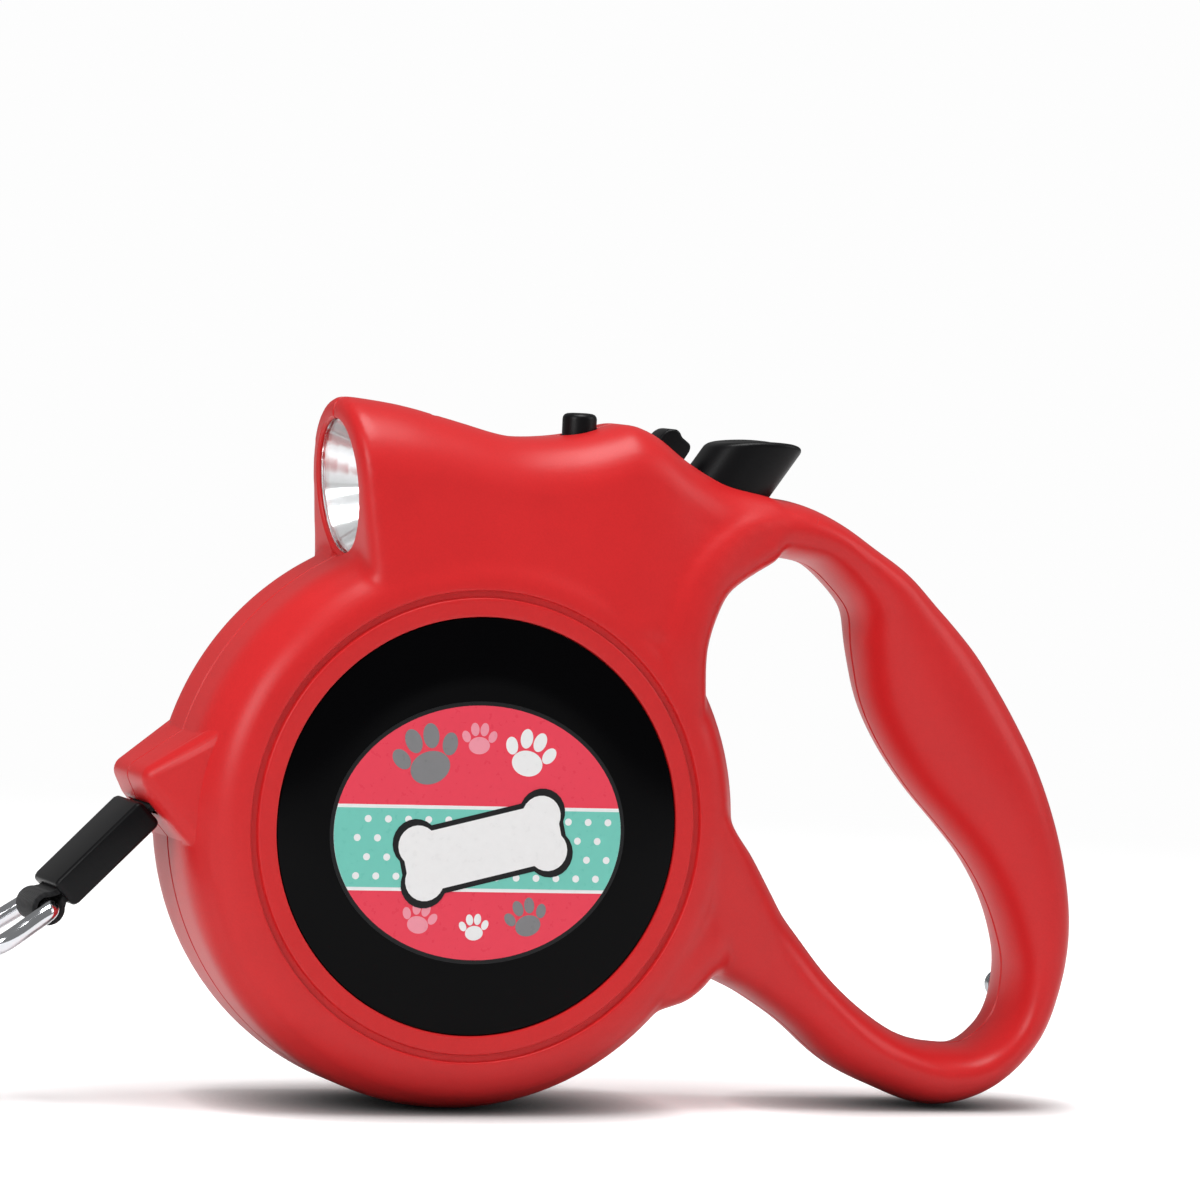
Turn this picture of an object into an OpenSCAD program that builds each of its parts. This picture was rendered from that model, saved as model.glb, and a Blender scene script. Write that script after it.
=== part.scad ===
// Retractable tape leash with a hand loop, thumb brake, brake lock and front lamp.
// Frame: drum axis on the Y axis, +X to the hand, -X to the nozzle, +Z up, floor at Z = 0.
// Lengths are in millimetres and angles in degrees.

/* [Case] */
// Room between the spool's brake teeth and the wall around them
rim_gap = 3.9; // [3:0.1:5]
// Half of the case's thickness across the drum faces
case_half = 19.4; // [18.6:0.1:21]
// Thickness of the moulded wall
wall = 2.2; // [1.8:0.1:2.4]
// Radius of the rounded corner between rim and face
corner_r = 7.5; // [6:0.5:8]
// Half width of the flat band around the rim
band_half = 8; // [6:0.5:9]
// Radius of the groove around each face
groove_r = 39.8; // [39.2:0.1:41]
// Width of that groove
groove_w = 1.3; // [0.8:0.1:1.8]
// Depth of that groove
groove_depth = 0.7; // [0.4:0.1:0.9]

/* [Badges] */
// Radius of the glossy disc on each face
badge_r = 35.8; // [34:0.1:36.5]
// Thickness of each disc
badge_t = 1.0; // [0.8:0.1:1.2]
// Depth of each disc's face below the case's face
badge_recess = 0.25; // [0.1:0.05:0.4]

/* [Spool] */
// Width of the webbing tape
tape_w = 12; // [10:0.5:12.5]
// Thickness of the tape
tape_t = 1.0; // [0.8:0.1:1.2]
// Outside radius of the tape wound on the spool
coil_r = 38.1; // [36:0.1:38.4]
// Outside radius of the spool's hub
hub_r = 20; // [18:0.5:22]
// Radius over the tips of the brake teeth
tooth_r = 43.5; // [42.5:0.1:44]
// Depth of a brake notch
notch_depth = 3.6; // [3:0.1:4]
// Thickness of each flange
flange_t = 2; // [1.6:0.1:2.4]
// Radius of the axle
axle_r = 4; // [3.5:0.1:4.5]
// Turns of the flat power spring
power_turns = 11; // [8:1:12]
// Thickness of the power spring's ribbon
power_t = 0.35; // [0.25:0.05:0.4]

/* [Tape end] */
// Length of the stopper block
stopper_len = 20.5; // [18:0.5:21]
// Width of the stopper block
stopper_w = 15; // [14:0.5:16.5]
// Thickness of the stopper block
stopper_t = 5; // [4.4:0.1:5.2]
// Fall of the tape below level as it leaves the nozzle
tape_fall = 45; // [44:0.5:46]

/* [Brake] */
// Length of the brake button along the hand
button_len = 14.2; // [13:0.1:15]
// Width of the brake button
button_w = 13; // [11:0.5:13.5]
// Travel of the brake button
brake_travel = 4.5; // [4:0.1:4.6]
// Half width of the brake lock's lever
lock_half_w = 3; // [2.6:0.1:3.4]
// Swing of the brake lock
lock_swing = 20; // [18:1:21]

/* [Lamp] */
// Radius of the lamp's opening
lamp_r = 11.6; // [10.5:0.1:11.8]
// Radius of the lamp switch's cap
switch_r = 3; // [2.6:0.1:3.4]
// Travel of the lamp switch
switch_travel = 1.5; // [1:0.1:1.8]
// Diameter of a button cell
cell_d = 11.6; // [11:0.1:11.8]
// Thickness of a button cell
cell_t = 5.4; // [5:0.1:5.4]

/* [Hook] */
// Thickness of the hook's rods
rod_d = 3.2; // [2.8:0.1:3.6]
// Length of the swivel eye from its bar to its end
eye_len = 16; // [15:0.5:17]
// Inside radius of the hook's bow, which takes a collar ring
bow_r = 5; // [4.5:0.1:5.5]
// Travel of the sprung bolt
bolt_travel = 6; // [5:0.5:6]

/* [Screws] */
// Shank diameter of the case screws
screw_d = 2.6; // [2.2:0.1:2.8]
// Head diameter of the case screws
screw_head_d = 5; // [4.6:0.1:5.2]

/* [Hidden] */
$fn = 64;

seat_gap = 0.1;        // between pieces that sit in one another
run_gap = 0.05;        // radial play of a shaft in its bore
move_gap = 0.3;        // between pieces that move past one another
big = 300;             // more than the whole part

plastic_red = [0.80, 0.17, 0.18];
plastic_black = [0.07, 0.07, 0.08];
plastic_pale = [0.85, 0.84, 0.80];
steel = [0.70, 0.71, 0.73];
brass = [0.78, 0.62, 0.30];

rim_r = tooth_r + rim_gap + wall;
axis_z = rim_r;
// The outlines below are drawn round a drum of this radius, and they grow with the drum
drawn_r = 49.6;
grown = rim_r / drawn_r;
function placed(list, count) = [for (p = list) [for (i = [0 : len(p) - 1]) p[i] * (i < count ? grown : 1)]];

// Loop of the hand grip and the neck's rear column:
// [x, z, half depth, half width, squareness outside, squareness towards the hole]
LOOP = placed([[56.4, 101.6, 5.3, 12.8, 2.5, 2.4], [62, 101, 4.9, 12.5, 2.5, 2.3],
        [67.6, 99, 4.4, 12.2, 2.5, 2.1], [73.2, 95, 4.8, 12, 2.6, 2], [78.6, 90.1, 6.1, 12, 2.7, 2],
        [82.4, 83.2, 8.8, 12, 2.8, 2], [86.2, 76.3, 10.9, 12, 2.8, 2], [90.4, 69.7, 11.5, 12, 2.8, 2],
        [95.2, 63, 11.2, 12, 2.8, 2], [100, 56.5, 10.2, 12, 2.8, 2], [104.7, 49, 8.7, 11.8, 2.7, 2],
        [108.4, 40.8, 7.3, 11.6, 2.6, 2], [110.7, 32.2, 6.1, 11.4, 2.5, 2],
        [111, 23.7, 4.8, 11.2, 2.4, 2], [108.4, 14.1, 4.2, 11, 2.2, 2], [101.5, 7.3, 4.6, 11, 2.1, 2],
        [93, 5.6, 5.6, 11, 2.1, 2], [84.5, 7.8, 5.2, 11.2, 2.1, 2], [76.1, 12.1, 5.6, 11.5, 2.1, 2],
        [68, 18.7, 5.6, 12, 2.2, 2.1], [60.1, 25.4, 7.1, 12.8, 2.5, 2.3],
        [52.8, 31.4, 9, 15, 2.8, 2.6], [45.7, 41.4, 9, 17.5, 3, 3], [42.1, 51.2, 5.8, 18.7, 3.6, 3.4],
        [38.1, 61.1, 5.6, 19, 3.8, 3.6], [36.5, 71.8, 6.3, 19.1, 3.8, 3.6],
        [36.6, 82.6, 6.5, 18.9, 3.6, 3.4], [41, 93.1, 6.8, 17.2, 3, 3], [48.8, 99.9, 6, 14.6, 2.7, 2.7]], 2);
// Fillet under the drum: the same six values
FILLET = placed([[57, 35, 5, 11.5, 2.6, 2.6], [45.9, 33.4, 10, 16.2, 3, 3],
                 [41.2, 30.4, 9.8, 17, 3, 3], [36.4, 27, 12, 17.8, 3, 3], [26, 28, 9, 16, 3, 3]], 2);
// Ridge from the lamp to the thumb brake: [x, top z, base z, half width, top radius, base half width]
RIDGE = placed([[-21.8, 121.9, 80.5, 16.2, 15.6, 19.2], [-12, 120.7, 84.5, 16.2, 14.6, 19.3],
         [-2, 118.3, 86.3, 15.8, 13, 19.3], [8, 116, 85.6, 15.4, 12, 19.3], [18, 116.4, 82, 15, 11.6, 19.3],
         [25, 118, 80, 14.8, 11, 19.2], [29, 118.9, 80, 14.6, 10.6, 18.9], [34, 117.2, 80, 14.4, 10.6, 18.4],
         [40, 113, 84, 14, 10.6, 17.4], [47, 109.3, 91, 13.6, 9.5, 15.4], [56, 107, 96.2, 12.7, 5.4, 13.2]], 3);
ridge_base_r = 4;
nozzle_r = 1.6;

face_wall = wall + badge_t + badge_recess;
inner_half = case_half - face_wall;

// Directions and places that several pieces share
lamp_tilt = 6;
lamp_at = grown * [-21.6, 0, 106.3];
exit_dir = [-cos(tape_fall), 0, -sin(tape_fall)];
tape_line_r = coil_r + move_gap + tape_t / 2;
tape_leaves = [-tape_line_r * sin(tape_fall), 0, axis_z + tape_line_r * cos(tape_fall)];
stopper_start = 38.2;          // along the tape from where it leaves the coil
loop_gap = 3.2;                // between the stopper and the hook's bar
loop_sunk = 4.3;               // length of the loop inside the stopper
loop_neck = 3;                 // from the hook's bar to where the two plies meet
loop_at = stopper_start + stopper_len + loop_gap;
hook_fall = 33.6;
pivot = tape_leaves + loop_at * exit_dir;

brake_lean = 35;
brake_at = grown * [49.9, 0, 109.3];
plunger_x = -1.2;
stem_w = 4.4;
tongue_w = 3;
cavity_top = -4;
spring_r = 3.8;
spring_wire = 0.7;
// Place of the drum axis in the brake's own frame
drum_in_brake = [(0 - brake_at[0]) * cos(brake_lean) - (axis_z - brake_at[2]) * sin(brake_lean),
                 (0 - brake_at[0]) * sin(brake_lean) + (axis_z - brake_at[2]) * cos(brake_lean)];
pawl_gap = 1.4;
pawl_tip = drum_in_brake[1] + tooth_r + pawl_gap;
flange_in = (tape_w + 1) / 2;
shoulder_x = -7.9;
shoulder_half = 1.5;

lock_lean = 31;
lock_at = brake_at + [-11.3, 0, 5.7];
lock_pivot_depth = 7;
lock_pin_r = 1;

notch_count = 24;
notch_angle = 90 - brake_lean;

// Case screws: [x, z, half width of the case there]
boss_r = 2.9;
SCREWS = concat(placed([[91, 69, 12], [109.9, 20.5, 11.2], [54, 32.6, 14.8], [38, 82.2, 18.6],
                        [63.5, 100.6, 12.4]], 2), [[-tooth_r - boss_r - 0.4, axis_z, 15.4]]);

// ---------- case ----------

// Points between a list's own, on a smooth curve through them
function curve(p0, p1, p2, p3, t) = p1 + t / 2 * (p2 - p0)
    + t * t * (p0 - 2.5 * p1 + 2 * p2 - 0.5 * p3) + t * t * t * (-p0 + 3 * p1 - 3 * p2 + p3) / 2;
function at(list, i, closed) = let (n = len(list)) list[closed ? (i + n) % n : min(max(i, 0), n - 1)];
function smooth(list, steps, closed) = concat([for (i = [0 : len(list) - (closed ? 1 : 2)], k = [0 : steps - 1])
    curve(at(list, i - 1, closed), list[i], at(list, i + 1, closed), at(list, i + 2, closed), k / steps)],
    closed ? [] : [list[len(list) - 1]]);

// One closed skin over rings of the same number of points
module skin(rings, closed) {
    n = len(rings);
    m = len(rings[0]);
    faces = [for (i = [0 : n - (closed ? 1 : 2)], j = [0 : m - 1])
        [i * m + j, i * m + (j + 1) % m, (i + 1) % n * m + (j + 1) % m, (i + 1) % n * m + j]];
    caps = closed ? [] : [[for (j = [m - 1 : -1 : 0]) j], [for (j = [0 : m - 1]) (n - 1) * m + j]];
    polyhedron([for (r = rings, p = r) p], concat(faces, caps), convexity = 10);
}

oval_sides = 24;

function bulge(c, square) = sign(c) * pow(abs(c), 2 / square);

function oval(list, i, closed, inset) = let (
    s = list[i], a = at(list, i - 1, closed), b = at(list, i + 1, closed),
    along = [b[0] - a[0], b[1] - a[1]] / norm([b[0] - a[0], b[1] - a[1]]))
    [for (k = [0 : oval_sides - 1]) let (turn = 360 * (k + 0.5) / oval_sides,
        square = cos(turn) > 0 ? s[4] : s[5],
        out = (s[2] - inset) * bulge(cos(turn), square))
        [s[0] - along[1] * out, (s[3] - inset) * bulge(sin(turn), square), s[1] + along[0] * out]];

module chain(list, inset, closed) {
    fine = smooth(list, 2, closed);
    skin([for (i = [0 : len(fine) - 1]) oval(fine, i, closed, inset)], closed);
}

rim_crown = 1.2;               // fall of the rim from its band to its rounded corner
face_r = rim_r - rim_crown - corner_r;

module drum_profile(inset, half) {
    edge = corner_r - inset;
    polygon(concat([[0, -half], [face_r, -half]],
        [for (a = [-80 : 20 : -20]) [face_r + edge * cos(a), edge * (sin(a) + 1) - half]],
        [[rim_r - inset, -band_half], [rim_r - inset, band_half]],
        [for (a = [20 : 20 : 80]) [face_r + edge * cos(a), half + edge * (sin(a) - 1)]],
        [[face_r, half], [0, half]]));
}

module drum(inset, half) {
    translate([0, 0, axis_z]) rotate([90, 0, 0]) rotate_extrude($fn = 88) drum_profile(inset, half);
}

// Ring of a ridge slice: its front one leans with the lamp
function ridge_ring(s, inset, lean, x_in) = let (
    corners = [[s[3] - s[4], s[1] - s[4], s[4], 4], [s[4] - s[3], s[1] - s[4], s[4], 94],
               [ridge_base_r - s[5], s[2] + ridge_base_r, ridge_base_r, 184],
               [s[5] - ridge_base_r, s[2] + ridge_base_r, ridge_base_r, 274]])
    [for (c = corners, k = [0 : 6]) let (turn = c[3] + k * 82 / 6,
        y = c[0] + (c[2] - inset) * cos(turn), z = c[1] + (c[2] - inset) * sin(turn))
        [s[0] + x_in - lean * (z - lamp_at[2]), -y, z]];

module ridge(inset) {
    fine = smooth(RIDGE, 2, false);
    skin([for (i = [0 : len(fine) - 1])
        ridge_ring(fine[i], inset, i == 0 ? tan(lamp_tilt) : 0, i == 0 ? inset : 0)], false);
}

// Corners of the nozzle in the tape's frame: [across the tape's plane, half width, along the tape]
NOZZLE = [[5, 9.2, 34.3], [2.2, 9, 35.7], [2.4, 13.2, 21], [-8.4, 11.5, 36.4], [-12.3, 13.3, 33.6],
          [-7.5, 9, 22.3]];

module nozzle() {
    on_tape(0) hull() for (p = NOZZLE, side = [-1, 1])
        translate([p[0], side * p[1], p[2]]) sphere(nozzle_r, $fn = 20);
}

module case_outer() {
    drum(0, case_half);
    ridge(0);
    chain(LOOP, 0, true);
    chain(FILLET, 0, false);
    nozzle();
}

module case_inner() {
    drum(wall, inner_half);
    ridge(wall);
    chain(LOOP, wall, true);
    chain(FILLET, wall, false);
}

module on_lamp() {
    translate(lamp_at) rotate([0, -90 - lamp_tilt, 0]) children();
}

module on_brake() {
    translate(brake_at) rotate([0, brake_lean, 0]) children();
}

module on_lock() {
    translate(lock_at) rotate([0, lock_lean, 0]) children();
}

module on_tape(along) {
    translate(tape_leaves + along * exit_dir) rotate([0, 270 - tape_fall, 0]) children();
}

module on_drum() {
    translate([0, 0, axis_z]) rotate([90, 0, 0]) children();
}

boss_long = 0.8;

// Depths in the lamp, from its front face
lens_back = -1.7;
lens_t = 1;
reflector_depth = 10.4;
reflector_wall = 0.8;
board_top = lens_back - reflector_depth - reflector_wall - seat_gap;
board_t = 1.2;
board_back = board_top - board_t;
board_r = 9;
board_hole_r = 7.8;
rim_depth = lens_back - 1.5;   // back of the room for the reflector's rim
seat_back = board_back - 1.2;

// Supports inside the case
axle_boss_r = 7;
axle_boss_face = 9.9;
shelf_top = -15.4;
shelf_t = 1.6;
shelf_x = -5.5;
tray_z = axis_z + tooth_r + 0.9;       // shelf between the spool and the batteries
tray_t = 1.4;

// Batteries, on the tray behind the lamp
cell_count = 3;
cells_len = cell_count * cell_t + 0.2;
cell_room_r = cell_d / 2 + seat_gap;
holder_t = 1;
holder_room = 0.5;
cells_x = lamp_at[0] - seat_back * cos(lamp_tilt) + 5.3;
cells_y = 2;
cells_z = tray_z + tray_t + seat_gap + holder_t + 0.2 + cell_room_r;

// Lamp switch, behind the batteries
switch_w = 8;
switch_h = 6.6;
switch_at = [cells_x + cells_len + holder_room + holder_t + 0.8 + switch_w / 2, 0, grown * 117];
switch_rise = 3.4;
cap_flange_z = switch_at[2] - 5.4;
switch_body_top = cap_flange_z - switch_travel - 0.4;
switch_seat = switch_body_top - switch_h;

module case_ribs() {
    for (s = SCREWS)
        translate([s[0], 0, s[1]]) rotate([90, 0, 0]) hull() for (shift = [-boss_long, boss_long])
            translate([0, shift, 0]) cylinder(h = 2 * s[2], r = boss_r, center = true, $fn = 24);
    for (side = [-1, 1])
        on_drum() translate([0, 0, side * (axle_boss_face + inner_half + 1) / 2])
            cylinder(h = inner_half + 1 - axle_boss_face, r = axle_boss_r, center = true, $fn = 40);
    on_lamp() translate([0, 0, seat_back]) cylinder(h = -seat_back, r = lamp_r + 2.8, $fn = 48);
    on_brake() translate([shelf_x, -case_half, shelf_top - shelf_t]) cube([12.5, 2 * case_half, shelf_t]);
    translate([cells_x - 3, -case_half, tray_z]) cube([cells_len + 4.6, 2 * case_half, tray_t]);
    translate([door_screw_x, door_boss_y, cells_z]) rotate([-90, 0, 0])
        cylinder(h = door_in - move_gap - door_boss_y, r = door_boss_r, $fn = 24);
    translate([switch_at[0] - switch_w / 2 - seat_gap, -case_half, switch_seat - tray_t])
        cube([switch_w + 2 * seat_gap, 2 * case_half, tray_t]);
    on_lock() for (side = [-1, 1])
        translate([0, side * (lock_half_w + 1.2), 0]) rotate([-side * 90, 0, 0]) hull()
            for (rise = [lock_pivot_depth, 2]) translate([0, side * rise, 0])
                cylinder(h = 9, r = 2.15, $fn = 22);
}

// The thumb brake seen from above: an oval that is nearly square
module button_plan(grow) {
    square = 2.6;
    linear_extrude(30) polygon([for (turn = [0 : 12 : 348])
        [(button_len / 2 + grow) * bulge(cos(turn), square), (button_w / 2 + grow) * bulge(sin(turn), square)]]);
}

module case_cuts() {
    on_drum() for (side = [-1, 1]) {
        translate([0, 0, side * case_half]) cylinder(h = 2 * (badge_t + badge_recess),
            r = badge_r + seat_gap, center = true, $fn = 72);
        translate([0, 0, side * case_half]) difference() {
            cylinder(h = 2 * groove_depth, r = groove_r + groove_w / 2, center = true, $fn = 72);
            cylinder(h = 3 * groove_depth, r = groove_r - groove_w / 2, center = true, $fn = 72);
        }
    }
    on_drum() cylinder(h = 2 * (inner_half - 0.5), r = axle_r + seat_gap, center = true, $fn = 48);
    on_lamp() {
        translate([0, 0, -8]) cylinder(h = 16, r = lamp_r, $fn = 48);
        translate([0, 0, rim_depth])
            cylinder(h = lens_back + lens_t + seat_gap - rim_depth, r = lamp_r + 0.4, $fn = 48);
        translate([0, 0, board_back - seat_gap / 2])
            cylinder(h = rim_depth - board_back + seat_gap, r1 = board_r + 0.2, r2 = lamp_r + 0.4, $fn = 48);
        translate([0, 0, seat_back - 1]) cylinder(h = 8, r = board_hole_r, $fn = 48);
    }
    on_tape(20) translate([-1.3, -tape_w / 2 - 0.7, 0]) cube([2.6, tape_w + 1.4, 30]);
    on_brake() {
        translate([0, 0, -9]) button_plan(move_gap);
        translate([plunger_x, 0, shelf_top])
            cube([stem_w + 2 * move_gap, stem_w + 2 * move_gap, 4 * shelf_t], center = true);
        translate([shelf_x - 1, -shoulder_half - move_gap, shelf_top - 2 * shelf_t])
            cube([plunger_x - shelf_x, 2 * (shoulder_half + move_gap), 4 * shelf_t]);
    }
    on_lock() {
        translate([-7.2, -lock_half_w - move_gap, -5]) cube([10.6, 2 * (lock_half_w + move_gap), 14]);
        translate([0, 0, -lock_pivot_depth]) rotate([90, 0, 0])
            cylinder(h = 2 * (lock_half_w + 5), r = lock_pin_r + seat_gap / 2, center = true, $fn = 24);
    }
    translate([door_screw_x, door_boss_y + 0.5, cells_z]) rotate([-90, 0, 0])
        cylinder(h = 8, r = (door_screw_d + seat_gap) / 2, $fn = 20);
    translate([switch_at[0] - 3.4, -0.9, switch_seat - 2 * tray_t]) cube([6.8, 1.8, 3 * tray_t]);
    translate([switch_at[0], 0, switch_at[2] - 6]) cylinder(h = 16, r = switch_r + move_gap, $fn = 40);
    for (s = SCREWS) translate([s[0], 0, s[1]]) rotate([-90, 0, 0]) {
        translate([0, 0, -s[2] + 4]) cylinder(h = 2 * s[2], r = screw_d / 2 + seat_gap / 2, $fn = 20);
        translate([0, 0, s[2] - 3]) cylinder(h = 12, r = screw_head_d / 2 + 0.2, $fn = 24);
    }
}

module shell(side) {
    color(plastic_red) difference() {
        case_outer();
        difference() {
            case_inner();
            case_ribs();
        }
        case_cuts();
        if (side > 0) door_box(move_gap);
        translate([-big / 2, side > 0 ? -big : 0, -big / 2]) cube([big, big, big]);
    }
}

module left_shell() { shell(-1); }

module right_shell() { shell(1); }

module badge(side) {
    face = case_half - badge_recess;
    color(plastic_black) on_drum() translate([0, 0, -side * (face - badge_t / 2)])
        cylinder(h = badge_t, r = badge_r, center = true, $fn = 72);
}

module left_badge() { badge(-1); }

module right_badge() { badge(1); }

module screw(head_y, tip_y, d, head_d) {
    head_t = 1.8;
    rotate([-90, 0, 0]) difference() {
        union() {
            translate([0, 0, tip_y + 2]) cylinder(h = head_y - head_t - tip_y - 2, r = d / 2);
            translate([0, 0, tip_y]) cylinder(h = 2, r1 = 0.5, r2 = d / 2);
            translate([0, 0, head_y - head_t]) cylinder(h = head_t, r = head_d / 2);
        }
        for (turn = [0, 90]) rotate([0, 0, turn])
            translate([-head_d / 3, -0.4, head_y - 1]) cube([head_d * 2 / 3, 0.8, 2]);
    }
}

module case_screws() {
    color(steel) for (s = SCREWS) translate([s[0], 0, s[1]])
        screw(s[2] - 1.1, -s[2] + 4.6, screw_d, screw_head_d);
}

// ---------- spool ----------

module axle() {
    key_w = 1.2;
    color(steel) on_drum() difference() {
        cylinder(h = 2 * (inner_half - 0.7), r = axle_r, center = true);
        translate([-axle_r - 1, -key_w / 2, -7]) cube([axle_r + 2, key_w, 14]);
    }
}

module notches() {
    for (i = [0 : notch_count - 1])
        rotate([0, 0, notch_angle + i * 360 / notch_count])
            linear_extrude(40, center = true) polygon([
                [tooth_r - notch_depth, -2.1], [tooth_r - notch_depth, 2.1],
                [tooth_r + 1, 3.4], [tooth_r + 1, -2.6]]);
}

hub_wall = 2;

module spool() {
    color(plastic_pale) on_drum() difference() {
        union() {
            translate([0, 0, flange_in]) cylinder(h = flange_t, r = tooth_r, $fn = 90);
            translate([0, 0, -flange_in - flange_t]) cylinder(h = 2 * flange_in + flange_t + 0.5, r = hub_r);
        }
        translate([0, 0, -flange_in - flange_t - 1])
            cylinder(h = 2 * flange_in + flange_t + 1, r = hub_r - hub_wall);
        cylinder(h = 60, r = axle_r + run_gap, center = true);
        notches();
    }
}

module spool_flange() {
    color(plastic_pale) on_drum() translate([0, 0, -flange_in - flange_t]) difference() {
        cylinder(h = flange_t, r = tooth_r, $fn = 90);
        cylinder(h = 3 * flange_t, r = hub_r + seat_gap, center = true);
        notches();
    }
}

module spring_cover() {
    color(plastic_pale) on_drum() translate([0, 0, -flange_in - flange_t - 1.2 - seat_gap / 2])
        difference() {
            cylinder(h = 1.2, r = hub_r + 4);
            cylinder(h = 5, r = axle_r + run_gap, center = true);
        }
}

// The ribbon's middle line: wound against the hub, with its inner end in the axle's slot
function ribbon_r(turn) = axle_r + 0.9 + (hub_r - hub_wall - 0.6 - axle_r - 0.9) * turn / power_turns;
function ribbon(side) = [for (k = [0 : power_turns * 24])
    let (turn = k / 24, r = ribbon_r(turn) + side * power_t / 2) r * [cos(360 * turn), sin(360 * turn)]];

module power_spring() {
    outer = ribbon(1);
    inner = ribbon(-1);
    color(steel) on_drum() translate([0, 0, -5.8]) linear_extrude(11.6)
        polygon(concat(outer, [for (k = [len(inner) - 1 : -1 : 0]) inner[k]]));
}

module tape_coil() {
    color(plastic_black) on_drum() difference() {
        cylinder(h = tape_w, r = coil_r, center = true, $fn = 90);
        cylinder(h = tape_w + 2, r = hub_r + seat_gap, center = true);
    }
}

// ---------- tape end ----------

module tape_run() {
    color(plastic_black) on_tape(0) translate([-tape_t / 2, -tape_w / 2, 0])
        cube([tape_t, tape_w, stopper_start + 1]);
}

module block(w, t, len, chamfer) {
    linear_extrude(len) polygon([for (p = [[1, 1], [-1, 1], [-1, -1], [1, -1]], c = [0, 1])
        let (flip = p[0] * p[1] > 0 ? c : 1 - c)
        [p[0] * (t / 2 - (flip == 1 ? chamfer : 0)), p[1] * (w / 2 - (flip == 1 ? 0 : chamfer))]]);
}

module tape_stopper() {
    collar = 2.6;
    color(plastic_black) on_tape(stopper_start) difference() {
        union() {
            block(tape_w + 1.6, stopper_t - 1.2, collar + 1, 0.4);
            translate([0, 0, collar]) block(stopper_w, stopper_t, stopper_len - collar, 0.6);
        }
        translate([-tape_t / 2 - seat_gap / 2, -tape_w / 2 - seat_gap / 2, -1])
            cube([tape_t + seat_gap, tape_w + seat_gap, stopper_len - 2]);
        translate([-1.5, -tape_w / 2 - seat_gap / 2, stopper_len - loop_sunk - 0.7])
            cube([3, tape_w + seat_gap, 10]);
    }
}

// Folded tape around the swivel eye's bar: two plies from the stopper and a round end
function loop_outline(r, half, end) = concat([for (a = [-50 : 10 : 230]) r * [cos(a), sin(a)]],
    [[-half, -loop_neck], [-half, -end], [half, -end], [half, -loop_neck]]);

module tape_loop() {
    inside = rod_d / 2 + 0.35;
    ply = 0.95;
    half = 0.4 + ply;
    end = loop_gap + loop_sunk;
    color(plastic_black) on_tape(loop_at) rotate([90, 0, 0])
        linear_extrude(tape_w - 1, center = true) difference() {
            polygon(loop_outline(inside + ply, half, end));
            polygon(loop_outline(inside, half - ply, end - ply));
        }
}

// ---------- brake ----------

module brake_button() {
    skirt_z = -7.6;
    half = button_len / 2;
    color(plastic_black) on_brake() difference() {
        intersection() {
            translate([0, button_w, 0]) rotate([90, 0, 0]) linear_extrude(2 * button_w)
                polygon([[-half - 1, skirt_z], [half + 1, skirt_z], [half + 1, 11.8], [half - 0.7, 12.4],
                         [half - 2.6, 11.8], [0, 8.8], [-half + 1.2, 3.7], [-half - 1, 2.6]]);
            translate([0, 0, -9]) button_plan(0);
        }
        translate([plunger_x, 0, skirt_z - 1]) cylinder(h = cavity_top - skirt_z + 1, r = 4.7);
        translate([plunger_x, 0, cavity_top])
            cube([tongue_w + seat_gap, tongue_w + seat_gap, 6 + seat_gap], center = true);
    }
}

module brake_plunger() {
    fork_top = -24.8;
    fork_t = 3.2;
    pawl_half = 3;
    left = drum_in_brake[0] - pawl_half;
    right = plunger_x + stem_w / 2;
    color(plastic_pale) on_brake() {
        translate([plunger_x - tongue_w / 2, -tongue_w / 2, cavity_top - 1]) cube([tongue_w, tongue_w, 4]);
        translate([plunger_x - stem_w / 2, -stem_w / 2, fork_top - 1])
            cube([stem_w, stem_w, cavity_top - fork_top + 1]);
        // Shoulder that the lock's tail catches
        translate([shoulder_x, -shoulder_half, -12.9]) cube([plunger_x - shoulder_x, 2 * shoulder_half, 1.3]);
        translate([left, -flange_in - flange_t, fork_top - fork_t])
            cube([right - left, 2 * (flange_in + flange_t), fork_t]);
        for (side = [-1, 1])
            translate([drum_in_brake[0], side * (flange_in + flange_t / 2), 0]) rotate([90, 0, 0])
                linear_extrude(flange_t - 0.2, center = true) polygon([
                    [-pawl_half, fork_top - 2], [pawl_half, fork_top - 2], [1.5, pawl_tip], [-1.5, pawl_tip]]);
    }
}

// A round wire wound up the local Z axis, as rings of points joined into one skin
module coil_spring(mean_r, wire, turns, height) {
    steps = 14;
    sides = 6;
    n = turns * steps;
    points = [for (k = [0 : n], j = [0 : sides - 1])
        let (a = 360 * k / steps, b = 360 * j / sides, r = mean_r + wire / 2 * cos(b))
        [r * cos(a), r * sin(a), wire / 2 + (height - wire) * k / n + wire / 2 * sin(b)]];
    faces = concat([[for (j = [0 : sides - 1]) j]], [[for (j = [sides - 1 : -1 : 0]) n * sides + j]],
        [for (k = [0 : n - 1], j = [0 : sides - 1])
            [k * sides + j, (k + 1) * sides + j, (k + 1) * sides + (j + 1) % sides, k * sides + (j + 1) % sides]]);
    polyhedron(points, faces, convexity = 8);
}

module brake_spring() {
    color(steel) on_brake() translate([plunger_x, 0, shelf_top + seat_gap])
        coil_spring(spring_r, spring_wire, 4, cavity_top - shelf_top - 2 * seat_gap);
}

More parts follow.
